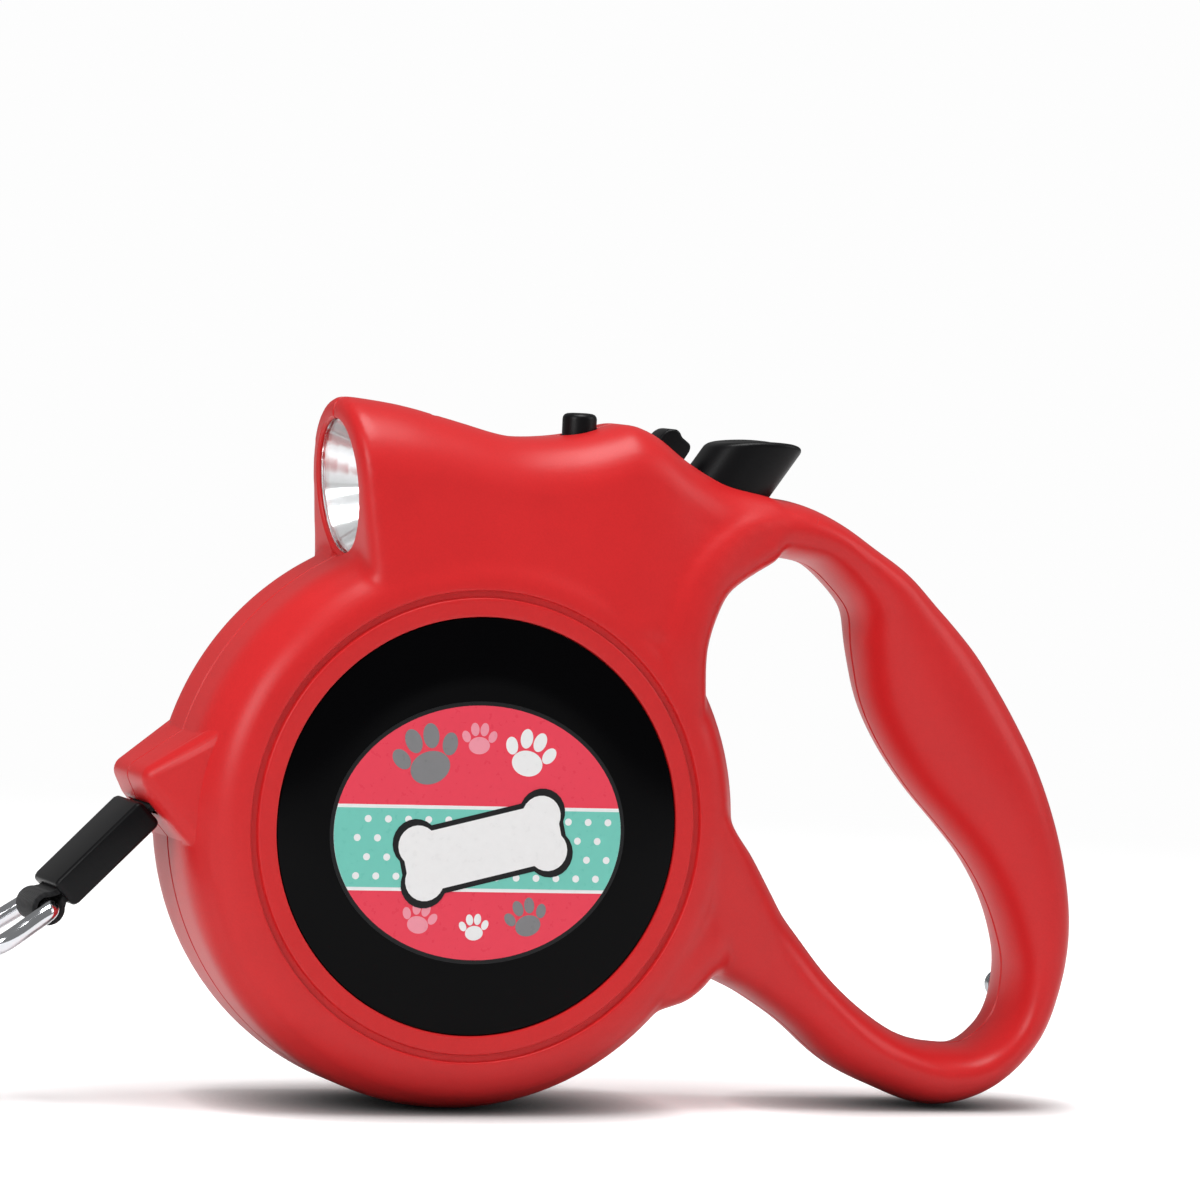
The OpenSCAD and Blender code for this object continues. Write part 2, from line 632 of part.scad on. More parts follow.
module brake_lock() {
    w = 2 * lock_half_w;
    color(plastic_black) on_lock() difference() {
        union() {
            translate([0, w / 2, 0]) rotate([90, 0, 0]) linear_extrude(w) polygon([
                [-3.4, -8], [2.4, -8], [2.6, 0.9], [2.4, 1.6], [1.9, 2.1], [0.2, 2.3], [-0.6, 2.8],
                [-1.7, 2.8], [-2.7, 2.1], [-3.4, 0.6]]);
            translate([0, 2.2, 0]) rotate([90, 0, 0]) linear_extrude(4.4) polygon([
                [-2.5, -7], [1.2, -7], [1, -12.1], [3, -13.3], [2.3, -15.1], [-0.8, -15.1]]);
        }
        translate([0, 0, -lock_pivot_depth]) rotate([90, 0, 0])
            cylinder(h = w + 2, r = lock_pin_r + run_gap, center = true, $fn = 32);
    }
}

module lock_pin() {
    color(steel) on_lock() translate([0, 0, -lock_pivot_depth]) rotate([90, 0, 0])
        cylinder(h = 2 * (lock_half_w + 4.6), r = lock_pin_r, center = true, $fn = 32);
}

// ---------- lamp ----------

module lamp_lens() {
    color([0.85, 0.92, 1, 0.4]) on_lamp() translate([0, 0, lens_back])
        cylinder(h = lens_t, r = lamp_r + 0.3);
}

function cup_z(r) = -reflector_depth * (1 - pow(r / (lamp_r - 0.4), 2));

module lamp_reflector() {
    led_hole_r = 2.5;
    radii = [for (k = [0 : 8]) led_hole_r + (lamp_r - 0.4 - led_hole_r) * k / 8];
    color(steel) on_lamp() translate([0, 0, lens_back - seat_gap / 2]) rotate_extrude() polygon(concat(
        [for (r = radii) [r, cup_z(r)]],
        [[lamp_r + 0.25, 0], [lamp_r + 0.25, -1.2]],
        [for (k = [8 : -1 : 0]) [radii[k] + (k == 0 ? 0 : reflector_wall * 0.7), cup_z(radii[k]) - reflector_wall]]));
}

module lamp_led() {
    color([0.95, 0.93, 0.7]) on_lamp() {
        translate([0, 0, board_top]) cylinder(h = 2.9, r = 2.1);
        translate([0, 0, board_top + 2.9]) sphere(2.1);
    }
}

module led_board() {
    color([0.1, 0.35, 0.2]) on_lamp() translate([0, 0, board_back])
        cylinder(h = board_t, r = board_r);
}

module lamp_switch_cap() {
    edge = 0.5;
    cap_top = switch_at[2] + switch_rise;
    color(plastic_black) {
        translate([switch_at[0], 0, cap_flange_z]) cylinder(h = 1, r = switch_r + 1);
        translate([switch_at[0], 0, cap_flange_z]) cylinder(h = cap_top - edge - cap_flange_z, r = switch_r);
        translate([switch_at[0], 0, cap_top - edge]) cylinder(h = edge, r1 = switch_r, r2 = switch_r - edge);
    }
}

module lamp_switch() {
    pin_len = 3;
    color(plastic_black) translate([switch_at[0] - switch_w / 2, -switch_w / 2, switch_seat])
        cube([switch_w, switch_w, switch_h]);
    color(brass) for (dx = [-2.5, 0, 2.5])
        translate([switch_at[0] + dx - 0.4, -0.3, switch_seat - pin_len]) cube([0.8, 0.6, pin_len + 1]);
}

// ---------- batteries ----------

module button_cells() {
    color(steel) for (i = [0 : cell_count - 1])
        translate([cells_x + 0.1 + i * cell_t, cells_y, cells_z]) rotate([0, 90, 0])
            cylinder(h = cell_t - 0.02, r = cell_d / 2);
}

contact_t = 0.4;
tag_w = 2;
CONTACTS = [cells_x - 0.05 - contact_t, cells_x + cells_len + 0.05];

module battery_holder() {
    color(plastic_black) difference() {
        translate([cells_x - holder_t - holder_room, cells_y - cell_room_r - holder_t, tray_z + tray_t + seat_gap])
            cube([cells_len + 2 * (holder_t + holder_room), cell_room_r + holder_t + 4,
                  cells_z + cell_room_r + holder_t - tray_z - tray_t - seat_gap]);
        translate([cells_x - holder_room, cells_y, cells_z]) rotate([0, 90, 0])
            cylinder(h = cells_len + 2 * holder_room, r = cell_room_r);
        translate([cells_x - holder_room, cells_y, cells_z - cell_room_r])
            cube([cells_len + 2 * holder_room, 20, 2 * cell_room_r]);
        for (x = CONTACTS) translate([x - seat_gap, cells_y - tag_w / 2 - seat_gap, cells_z])
            cube([contact_t + 2 * seat_gap, tag_w + 2 * seat_gap, 20]);
    }
}

module battery_contacts() {
    color(brass) for (x = CONTACTS) {
        translate([x, cells_y - 3, cells_z - 3.5]) cube([contact_t, 6, 7]);
        translate([x, cells_y - tag_w / 2, cells_z]) cube([contact_t, tag_w, cell_d / 2 + holder_t + 2]);
    }
}

door_screw_x = cells_x + cells_len + 1.9;
door_screw_y = 16.2;
door_screw_d = 1.6;
door_face_y = 16.9;
door_in = 11;
door_boss_y = 6.5;
door_boss_r = 1.7;

module door_box(grow) {
    translate([cells_x - 3.4 - grow, door_in - grow, cells_z - 6.6 - grow])
        cube([cells_len + 6.8 + 2 * grow, 20, 13.2 + 2 * grow]);
}

module battery_door() {
    grips = 8;
    color(plastic_red) difference() {
        intersection() {
            ridge(0);
            door_box(0);
        }
        ridge(wall - 0.2);
        translate([door_screw_x, 0, cells_z]) rotate([-90, 0, 0]) {
            cylinder(h = 40, r = door_screw_d / 2 + seat_gap, $fn = 20);
            translate([0, 0, door_screw_y - 1.9]) cylinder(h = 9, r = door_screw_d, $fn = 24);
        }
        for (i = [0 : grips - 1]) hull() for (dz = [-3, 3])
            translate([cells_x + 1 + i * 1.3, door_face_y, cells_z + dz])
                rotate([0, 0, 45]) cube([0.7, 0.7, 0.7], center = true);
    }
}

module battery_door_screw() {
    color(steel) translate([door_screw_x, 0, cells_z])
        screw(door_screw_y, door_boss_y + 1, door_screw_d, 2.8);
}

// Routes of the lamp's wires: [x, y, z]
WIRES = [[[-6.45, -5.2, 104.6], [-3.2, -6, 104.2], [-1.6, -7.4, 101], [4, -8.3, 98.4], [12, -8, 98],
          [18.2, -6, 98.6], [19.1, -3, 99.6], [19.2, -1, 100.7]],
         [[-7.2, 4, 112], [-4.3, 3.3, 111.7], [-2.1, 2, 110.8]],
         [[15.65, 0.3, 110.8], [15.5, -4, 111.2], [15.4, -7.4, 109.6], [15.8, -8.6, 105], [16.2, -9, 101],
          [20, -8, 99.4], [24, -4.5, 99.6], [24.2, -1, 100.7]]];

module lamp_wires() {
    wire_r = 0.6;
    sides = 8;
    color([0.7, 0.1, 0.1]) for (w = WIRES) {
        path = smooth(w, 3, false);
        skin([for (i = [0 : len(path) - 1]) let (
            ahead = at(path, i + 1, false) - at(path, i - 1, false),
            across = cross(ahead, [0.3, 1, 0.2]),
            u = across / norm(across),
            v = cross(ahead, u) / norm(ahead))
            [for (j = [0 : sides - 1])
                path[i] + wire_r * (cos(360 * j / sides) * u - sin(360 * j / sides) * v)]], false);
    }
}

// ---------- hook ----------

module on_hook(along) {
    translate(pivot) rotate([0, 270 - hook_fall, 0]) translate([0, 0, along]) children();
}

module rod(a, b, r) {
    d = b - a;
    translate(a) rotate([0, acos(d[2] / norm(d)), atan2(d[1], d[0])]) cylinder(h = norm(d), r = r, $fn = 32);
}

eye_half = 7.6;
post_r = 1.6;

module hook_eye() {
    r = rod_d / 2;
    color(steel) on_hook(0) difference() {
        union() {
            rod([0, -eye_half, 0], [0, eye_half, 0], r);
            for (side = [-1, 1]) {
                translate([0, side * eye_half, 0]) sphere(r * 1.04, $fn = 32);
                rod([0, side * eye_half, 0], [0, side * (eye_half + 1), eye_len - 6], r);
                translate([0, side * (eye_half + 1), eye_len - 6]) sphere(r * 1.04, $fn = 32);
                rod([0, side * (eye_half + 1), eye_len - 6], [0, side * 3, eye_len - 1], r);
            }
            translate([0, 0, eye_len - 3]) cylinder(h = 4, r = 4);
        }
        translate([0, 0, eye_len - 6]) cylinder(h = 12, r = post_r + run_gap);
    }
}

body_start = eye_len + 1.3;
yoke_len = 5.5;
bow_t = 4.4;               // thickness of the bow across its plane
bow_wall = 3.4;
bolt_r = 2;
bolt_y = -bow_r - bolt_r;
barrel_r = 3.6;
barrel_end = body_start + 20.2;
bow_at = barrel_end + bolt_travel + 3.2;
bolt_tail = barrel_end - 7;
knob_len = 3;

module hook_body() {
    color(steel) on_hook(0) difference() {
        union() {
            // Post through the eye, with its riveted head inside the eye
            translate([0, 0, eye_len - 4.6]) cylinder(h = 8, r = post_r);
            translate([0, 0, eye_len - 4.8]) cylinder(h = 1.5, r = post_r + 1.1);
            translate([0, 0, body_start]) cylinder(h = 2, r1 = 3, r2 = 4.2);
            translate([0, 0, body_start + 2]) cylinder(h = 2.4, r = 4.2);
            translate([-bow_t / 2, bolt_y, body_start + 1])
                cube([bow_t, bow_r + bow_wall - bolt_y, yoke_len - 1]);
            translate([0, bolt_y, body_start + 1]) cylinder(h = barrel_end - body_start - 1, r = barrel_r);
            translate([-bow_t / 2, bow_r, body_start + 1]) cube([bow_t, bow_wall, bow_at - body_start - 1]);
            translate([0, 0, bow_at]) rotate([0, 90, 0]) difference() {
                cylinder(h = bow_t, r = bow_r + bow_wall, center = true);
                cylinder(h = 2 * bow_t, r = bow_r, center = true);
                translate([0, -big / 2, -big / 2]) cube([big, big, big]);
            }
        }
        translate([0, bolt_y, body_start + 3.2]) cylinder(h = barrel_end - body_start, r = bolt_r + run_gap);
        translate([-1.1, bolt_y - barrel_r - 1, bolt_tail - bolt_travel])
            cube([2.2, barrel_r + 1, bolt_travel + knob_len + 0.9]);
    }
}

module hook_bolt() {
    color(steel) on_hook(0) {
        translate([0, bolt_y, bolt_tail]) cylinder(h = bow_at - 0.7 - bolt_tail, r = bolt_r);
        translate([-0.9, bolt_y - barrel_r - 1.2, bolt_tail + 0.5]) cube([1.8, barrel_r + 1.2, knob_len]);
        translate([0, bolt_y - barrel_r - 1.8, bolt_tail + 0.5 + knob_len / 2]) sphere(1.9, $fn = 32);
    }
}

module hook_spring() {
    start = body_start + 3.3;
    color(steel) on_hook(start) translate([0, bolt_y, 0])
        coil_spring(1.5, 0.4, 5, bolt_tail - start - 0.1);
}

left_shell();
right_shell();
left_badge();
right_badge();
case_screws();
axle();
spool();
spool_flange();
spring_cover();
power_spring();
tape_coil();
tape_run();
tape_stopper();
tape_loop();
brake_button();
brake_plunger();
brake_spring();
brake_lock();
lock_pin();
lamp_lens();
lamp_reflector();
lamp_led();
led_board();
lamp_switch_cap();
lamp_switch();
button_cells();
battery_holder();
battery_contacts();
battery_door();
battery_door_screw();
lamp_wires();
hook_eye();
hook_body();
hook_bolt();
hook_spring();
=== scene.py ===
import math

import bmesh
import bpy
from mathutils import Matrix, Vector
from mathutils.bvhtree import BVHTree


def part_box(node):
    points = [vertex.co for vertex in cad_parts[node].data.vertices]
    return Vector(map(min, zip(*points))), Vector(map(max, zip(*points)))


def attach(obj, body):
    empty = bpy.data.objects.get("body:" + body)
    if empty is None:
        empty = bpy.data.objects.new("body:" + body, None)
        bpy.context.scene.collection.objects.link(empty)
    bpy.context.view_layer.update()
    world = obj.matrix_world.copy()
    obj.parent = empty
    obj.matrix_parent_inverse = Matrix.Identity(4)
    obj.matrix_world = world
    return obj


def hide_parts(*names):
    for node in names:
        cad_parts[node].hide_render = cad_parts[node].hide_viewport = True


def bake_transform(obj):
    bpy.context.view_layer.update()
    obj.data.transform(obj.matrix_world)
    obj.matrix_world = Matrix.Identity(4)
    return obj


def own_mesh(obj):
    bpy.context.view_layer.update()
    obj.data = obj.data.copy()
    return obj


bl_info = {
    "name": "Retractable leash",
    "version": (1, 0, 0),
    "blender": (4, 5, 0),
    "location": "3D View > Sidebar > Leash",
    "description": "Dresses the retractable leash's solids with finished forms and materials",
    "category": "Object",
}

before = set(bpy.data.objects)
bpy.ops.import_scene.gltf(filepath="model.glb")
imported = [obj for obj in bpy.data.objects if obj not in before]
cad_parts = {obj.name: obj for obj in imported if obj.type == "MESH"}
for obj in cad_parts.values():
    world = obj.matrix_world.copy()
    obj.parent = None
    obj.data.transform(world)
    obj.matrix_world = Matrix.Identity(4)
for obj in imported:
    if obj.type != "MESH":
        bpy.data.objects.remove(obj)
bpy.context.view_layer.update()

MM = 0.001
FRAME_W = 1200
FRAME_H = 1200

# Places in the photograph's frame, in pixels: [x, y]
POINTS = {
    "right": [1068, 921],
    "bottom": [938, 1103],
    "lamp_top": [345, 394],
    "lamp_left": [316, 482],
    "switch_left": [561, 420],
    "brake_top": [799, 448],
    "lock_left": [652, 430],
    "hole_bottom": [935, 1041],
    "hole_top": [783, 557],
    "print_centre": [478, 833],
    "handle_notch": [818, 521],
    "ridge_step": [433, 414],
    "nozzle_tip": [116, 769],
}

# ---------- sizes that the solids and this file share, in millimetres ----------

RIM_R = 49.6
AXIS_Z = 49.6
CASE_HALF = 19.4
WALL = 2.2
BADGE_T = 1.0
BADGE_RECESS = 0.25
BADGE_R = 35.8
CORNER_R = 7.5
CORNER_FLAT = 0.5
BAND_HALF = 8.0
RIM_CROWN = 2.1
FACE_R = RIM_R - 1.2 - CORNER_R
GROOVE_R = 39.8
GROOVE_W = 1.3
FACE_WALL = WALL + BADGE_T + BADGE_RECESS
INNER_HALF = CASE_HALF - FACE_WALL

# Hand grip and the neck's rear column:
# [x, z, half depth, half width, squareness outside, squareness towards the hole]
LOOP = [
    [56.4, 101.6, 5.3, 12.8, 2.5, 2.4], [62, 101, 4.9, 12.5, 2.5, 2.3],
    [67.6, 99, 4.4, 12.2, 2.5, 2.1], [73.2, 95, 4.8, 12, 2.6, 2], [78.6, 90.1, 6.1, 12, 2.7, 2],
    [82.4, 83.2, 8.8, 12, 2.8, 2], [86.2, 76.3, 10.9, 12, 2.8, 2], [90.4, 69.7, 11.5, 12, 2.8, 2],
    [95.2, 63, 11.2, 12, 2.8, 2], [100, 56.5, 10.2, 12, 2.8, 2], [104.7, 49, 8.7, 11.8, 2.7, 2],
    [108.4, 40.8, 7.3, 11.6, 2.6, 2], [110.7, 32.2, 6.1, 11.4, 2.5, 2], [111, 23.7, 4.8, 11.2, 2.4, 2],
    [108.4, 14.1, 4.2, 11, 2.2, 2], [101.5, 7.3, 4.6, 11, 2.1, 2], [93, 5.6, 5.6, 11, 2.1, 2],
    [84.5, 7.8, 5.2, 11.2, 2.1, 2], [76.1, 12.1, 5.6, 11.5, 2.1, 2], [68, 18.7, 5.6, 12, 2.2, 2.1],
    [60.1, 25.4, 7.1, 12.8, 2.5, 2.3], [52.8, 31.4, 9, 15, 2.8, 2.6], [45.7, 41.4, 9, 17.5, 3, 3],
    [42.1, 51.2, 5.8, 18.7, 3.6, 3.4], [38.1, 61.1, 5.6, 19, 3.8, 3.6], [36.5, 71.8, 6.3, 19.1, 3.8, 3.6],
    [36.6, 82.6, 6.5, 18.9, 3.6, 3.4], [41, 93.1, 6.8, 17.2, 3, 3], [48.8, 99.9, 6, 14.6, 2.7, 2.7]
]
# Fillet under the drum, in the same terms
FILLET = [[57, 35, 5.4, 11.5, 2.6, 2.6], [45.9, 33.4, 10.6, 16.2, 3, 3], [41.2, 30.4, 10.1, 17, 3, 3],
          [36.4, 27, 10.4, 17.8, 3, 3], [26, 28, 8, 16, 3, 3]]
# Ridge: [x, top z, base z, half width, top radius, base half width]
RIDGE = [
    [-21.8, 121.9, 80.5, 16.2, 15.6, 19.2], [-12, 120.7, 84.5, 16.2, 14.6, 19.3],
    [-2, 118.3, 86.3, 15.8, 13, 19.3], [8, 116, 85.6, 15.4, 12, 19.3], [18, 116.4, 82, 15, 11.6, 19.3],
    [25, 118, 80, 14.8, 11, 19.2], [29, 118.9, 80, 14.6, 10.6, 18.9], [34, 117.2, 80, 14.4, 10.6, 18.4],
    [40, 113, 84, 14, 10.6, 17.4], [47, 109.3, 91, 13.6, 9.5, 15.4], [56, 107, 96.2, 12.7, 5.4, 13.2],
]
RIDGE_BASE_R = 4
FRONT_R = 2.4
# Nozzle's corners in the tape's frame: [across, half width, along]
NOZZLE = [[4.2, 8.4, 33.9], [1.6, 8.2, 34.8], [1.7, 12.4, 21], [-7.6, 10.7, 35.4], [-11.3, 12.5, 32.8],
          [-6.8, 8.2, 22.3]]
NOZZLE_R = 2.5

LAMP_AT = (-21.6, 0, 106.3)
LAMP_TILT = 6
LAMP_R = 11.6
LENS_BACK = -1.7
LENS_T = 1.0
SEAT_BACK = -15.4
TAPE_FALL = 45
TAPE_LINE_R = 38.9
TAPE_W = 12
STOPPER_START = 38.2
STOPPER_LEN = 20.5
LOOP_AT = 61.9
HOOK_FALL = 33.6
BRAKE_AT = (49.9, 0, 109.3)
BRAKE_LEAN = 35
PLUNGER_X = -1.2
# Springs of the thumb brake and of the hook's bolt: foot and length at rest
BRAKE_SPRING_FOOT = (PLUNGER_X, 0, -15.3)
BRAKE_SPRING = 11.2
BOLT_SPRING_FOOT = (0, -7, 20.6)
BOLT_SPRING = 9.8
BUTTON_LEN = 14.2
BUTTON_W = 13
BUTTON_SQUARE = 2.6
BUTTON_SIDES = 64
# Top of the thumb brake: [along, height]
BUTTON_TOP = [
    [-7.3, 3.1], [-6.2, 4.1], [-3.4, 6.5], [0, 9.1], [3.4, 11.2], [5.6, 12.1], [6.6, 12.2], [7.3, 11.9],
]
LOCK_AT = (38.6, 0, 115.0)
LOCK_LEAN = 31
LOCK_HALF_W = 3.0
LOCK_PIVOT_DEPTH = 7
SWITCH_R = 3.0
MOVE_GAP = 0.3
# Case screws: [x, z, half width of the case there]
SCREWS = [[91, 69, 12], [109.9, 20.5, 11.2], [54, 32.6, 14.8], [38, 82.2, 18.6], [63.5, 100.6, 12.4],
          [-46.8, 49.6, 15.4]]
SCREW_HEAD_R = 2.7

switch_low, switch_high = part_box("lamp_switch_cap")
SWITCH_X = (switch_low[0] + switch_high[0]) / 2 / MM
SWITCH_TOP = switch_high[2] / MM
door_low, door_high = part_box("battery_door")


def turned_place(place, lean):
    """Frame at a place, leaned about the Y axis by so many degrees."""
    return Matrix.Translation(Vector(place) * MM) @ Matrix.Rotation(math.radians(lean), 4, "Y")


TAPE_DIR = Vector((-math.cos(math.radians(TAPE_FALL)), 0, -math.sin(math.radians(TAPE_FALL))))
TAPE_LEAVES = Vector((-TAPE_LINE_R * math.sin(math.radians(TAPE_FALL)), 0,
                      AXIS_Z + TAPE_LINE_R * math.cos(math.radians(TAPE_FALL))))


def on_tape(along):
    """Frame on the tape's line, so far from where it leaves the coil."""
    return turned_place(TAPE_LEAVES + along * TAPE_DIR, 270 - TAPE_FALL)


ON_LAMP = turned_place(LAMP_AT, -90 - LAMP_TILT)
ON_BRAKE = turned_place(BRAKE_AT, BRAKE_LEAN)
ON_LOCK = turned_place(LOCK_AT, LOCK_LEAN)
ON_HOOK = turned_place(TAPE_LEAVES + LOOP_AT * TAPE_DIR, 270 - HOOK_FALL)
# The drum's frame looks out of the left face
ON_DRUM = Matrix.Translation(Vector((0, 0, AXIS_Z)) * MM) @ Matrix.Rotation(math.radians(90), 4, "X")

# ---------- the tools that every piece is made with ----------


def deselect():
    """Leaves edit mode, with nothing selected."""
    if bpy.context.object and bpy.context.object.mode != "OBJECT":
        bpy.ops.object.mode_set(mode="OBJECT")
    bpy.ops.object.select_all(action="DESELECT")


def pick(*pieces):
    """Selects the pieces, the last of them active."""
    deselect()
    for piece in pieces:
        piece.select_set(True)
    bpy.context.view_layer.objects.active = pieces[-1]


def named(name):
    """Names the piece that was just added."""
    piece = bpy.context.active_object
    piece.name = piece.data.name = name
    return piece


def loft(name, rings, closed=False):
    """Bridges rings of points into one closed skin, with flat ends unless it runs round."""
    deselect()
    sides = len(rings[0])
    bpy.ops.mesh.primitive_circle_add(vertices=sides, radius=MM)
    skin = named(name)
    bpy.ops.object.mode_set(mode="EDIT")
    for _ in rings[1:]:
        bpy.ops.mesh.primitive_circle_add(vertices=sides, radius=MM)
    form = bmesh.from_edit_mesh(skin.data)
    form.verts.ensure_lookup_table()
    for i, ring in enumerate(rings):
        for j, point in enumerate(ring):
            form.verts[i * sides + j].co = point
    bmesh.update_edit_mesh(skin.data)

    def choose(numbers):
        bpy.ops.mesh.select_all(action="DESELECT")
        form = bmesh.from_edit_mesh(skin.data)
        form.verts.ensure_lookup_table()
        for i in numbers:
            for j in range(sides):
                form.verts[i * sides + j].select = True
        form.select_flush(True)

    for i in range(len(rings) - (0 if closed else 1)):
        choose([i, (i + 1) % len(rings)])
        bpy.ops.mesh.bridge_edge_loops()
    if not closed:
        for end in (0, len(rings) - 1):
            choose([end])
            bpy.ops.mesh.edge_face_add()
    bpy.ops.mesh.select_all(action="SELECT")
    bpy.ops.mesh.normals_make_consistent(inside=False)
    bpy.ops.object.mode_set(mode="OBJECT")
    return skin


def turned(name, profile, place, sides=64):
    """A turned form: rings of [radius, along] about the Z axis of a frame, in millimetres."""
    rings = [[place @ (Vector((r * math.cos(a), r * math.sin(a), along)) * MM)
              for a in [2 * math.pi * k / sides for k in range(sides)]] for r, along in profile]
    return loft(name, rings)


def cut_out(name, outline, width, place, bevel=0.0, segments=3, angle=30):
    """A plate with an outline in a frame's X and Z, so wide along its Y, with rounded edges."""
    deselect()
    bpy.ops.mesh.primitive_circle_add(vertices=len(outline), radius=MM, fill_type="NGON")
    plate = named(name)
    bpy.ops.object.mode_set(mode="EDIT")
    form = bmesh.from_edit_mesh(plate.data)
    form.verts.ensure_lookup_table()
    for vertex, (x, z) in zip(form.verts, outline):
        vertex.co = place @ (Vector((x, -width / 2, z)) * MM)
    bmesh.update_edit_mesh(plate.data)
    across = place.to_3x3() @ Vector((0, width * MM, 0))
    bpy.ops.mesh.extrude_region_move(TRANSFORM_OT_translate={"value": across})
    bpy.ops.mesh.select_all(action="SELECT")
    bpy.ops.mesh.normals_make_consistent(inside=False)
    bpy.ops.object.mode_set(mode="OBJECT")
    if bevel:
        round_edges(plate, bevel, segments, angle)
    return plate


def block(name, low, high, place=Matrix(), bevel=0.0, segments=3):
    """A block between two corners in a frame."""
    outline = [(low[0], low[2]), (high[0], low[2]), (high[0], high[2]), (low[0], high[2])]
    middle = place @ Matrix.Translation(Vector((0, (low[1] + high[1]) / 2, 0)) * MM)
    return cut_out(name, outline, high[1] - low[1], middle, bevel, segments)


def apply_modifier(piece, kind, **settings):
    """Adds a modifier to a piece and applies it."""
    pick(piece)
    bpy.ops.object.modifier_add(type=kind)
    modifier = piece.modifiers[-1]
    for key, value in settings.items():
        setattr(modifier, key, value)
    bpy.ops.object.modifier_apply(modifier=modifier.name)
    return piece


def round_edges(piece, width, segments=3, angle=30):
    """Rounds the edges that are sharper than an angle."""
    return apply_modifier(piece, "BEVEL", width=width * MM, segments=segments, limit_method="ANGLE",
                          angle_limit=math.radians(angle), use_clamp_overlap=True)


def combine(piece, tool, how="DIFFERENCE", keep=False):
    """Cuts a tool from a piece, or joins it on, and checks that something changed."""
    before = len(piece.data.vertices)
    apply_modifier(piece, "BOOLEAN", operation=how, object=tool, solver="MANIFOLD")
    if len(piece.data.vertices) in (0, before):
        raise RuntimeError(f"{how} of {tool.name} left {piece.name} with {before} points")
    if not keep:
        bpy.data.objects.remove(tool, do_unlink=True)
    return piece


def join(name, pieces):
    """Makes one object of several."""
    pick(*pieces)
    bpy.ops.object.join()
    return named(name)


def smooth_shade(piece, angle=35):
    """Shades a piece smoothly, except at edges sharper than an angle."""
    pick(piece)
    bpy.ops.object.shade_smooth_by_angle(angle=math.radians(angle))
    return piece


def finish_piece(piece, body, material, replaces=(), angle=35):
    """Gives a piece its shading, material, body and the nodes that it stands for."""
    smooth_shade(piece, angle)
    piece.data.materials.clear()
    piece.data.materials.append(material)
    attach(piece, body)
    if replaces:
        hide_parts(*replaces)
    return piece


def smooth_rows(rows, steps, closed=False):
    """Rows between the given ones, on a smooth curve through them."""
    count = len(rows)

    def row(i):
        return rows[i % count] if closed else rows[min(max(i, 0), count - 1)]

    fine = []
    for i in range(count if closed else count - 1):
        for k in range(steps):
            t = k / steps
            fine.append([b + t / 2 * (c - a) + t * t * (a - 2.5 * b + 2 * c - 0.5 * d)
                         + t ** 3 * (-a + 3 * b - 3 * c + d) / 2
                         for a, b, c, d in zip(row(i - 1), row(i), row(i + 1), row(i + 2))])
    return fine if closed else fine + [list(rows[-1])]


def tube(name, path, radius, sides=20, closed=False):
    """A round rod along points in millimetres, carried without twist."""
    points = [Vector(p) for p in path]
    count = len(points)
    rings = []
    side = None
    for i, point in enumerate(points):
        after = points[(i + 1) % count] if closed else points[min(i + 1, count - 1)]
        before = points[i - 1] if closed else points[max(i - 1, 0)]
        ahead = (after - before).normalized()
        side = ahead.orthogonal() if side is None else side - ahead * side.dot(ahead)
        side.normalize()
        up = ahead.cross(side)
        rings.append([(point + radius * (math.cos(a) * side + math.sin(a) * up)) * MM
                      for a in [2 * math.pi * k / sides for k in range(sides)]])
    return loft(name, rings, closed)


def spring(name, place, radius, wire, turns, length, body):
    """A coil spring that stands on its place's origin."""
    steps = 20
    count = turns * steps
    path = []
    for k in range(count + 1):
        a = 2 * math.pi * k / steps
        at = Vector((radius * math.cos(a), radius * math.sin(a), wire / 2 + (length - wire) * k / count))
        path.append(place @ (at * MM) / MM)
    coil = finish_piece(tube(name, path, wire / 2, 8), body, materials["spring_steel"])
    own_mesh(coil)
    return coil


# ---------- materials ----------


def new_material(name):
    """An empty material with its shader."""
    material = bpy.data.materials.new(name)
    material.use_nodes = True
    return material, material.node_tree, material.node_tree.nodes["Principled BSDF"]


def node(tree, kind, inputs=None, **settings):
    """Adds a node, sets its values and links its inputs."""
    made = tree.nodes.new(kind)
    for key, value in settings.items():
        setattr(made, key, value)
    for key, value in (inputs or {}).items():
        if isinstance(value, bpy.types.NodeSocket):
            tree.links.new(value, made.inputs[key])
        else:
            made.inputs[key].default_value = value
    return made


def linear(colour):
    """A colour of 0 to 255 as the eye sees it, made linear."""
    parts = [c / 255 for c in colour]
    return tuple(p / 12.92 if p <= 0.04045 else ((p + 0.055) / 1.055) ** 2.4 for p in parts) + (1.0,)


def shade_of(colour, by):
    """A colour made lighter or darker."""
    return tuple(min(1.0, c * by) for c in colour[:3]) + (1.0,)


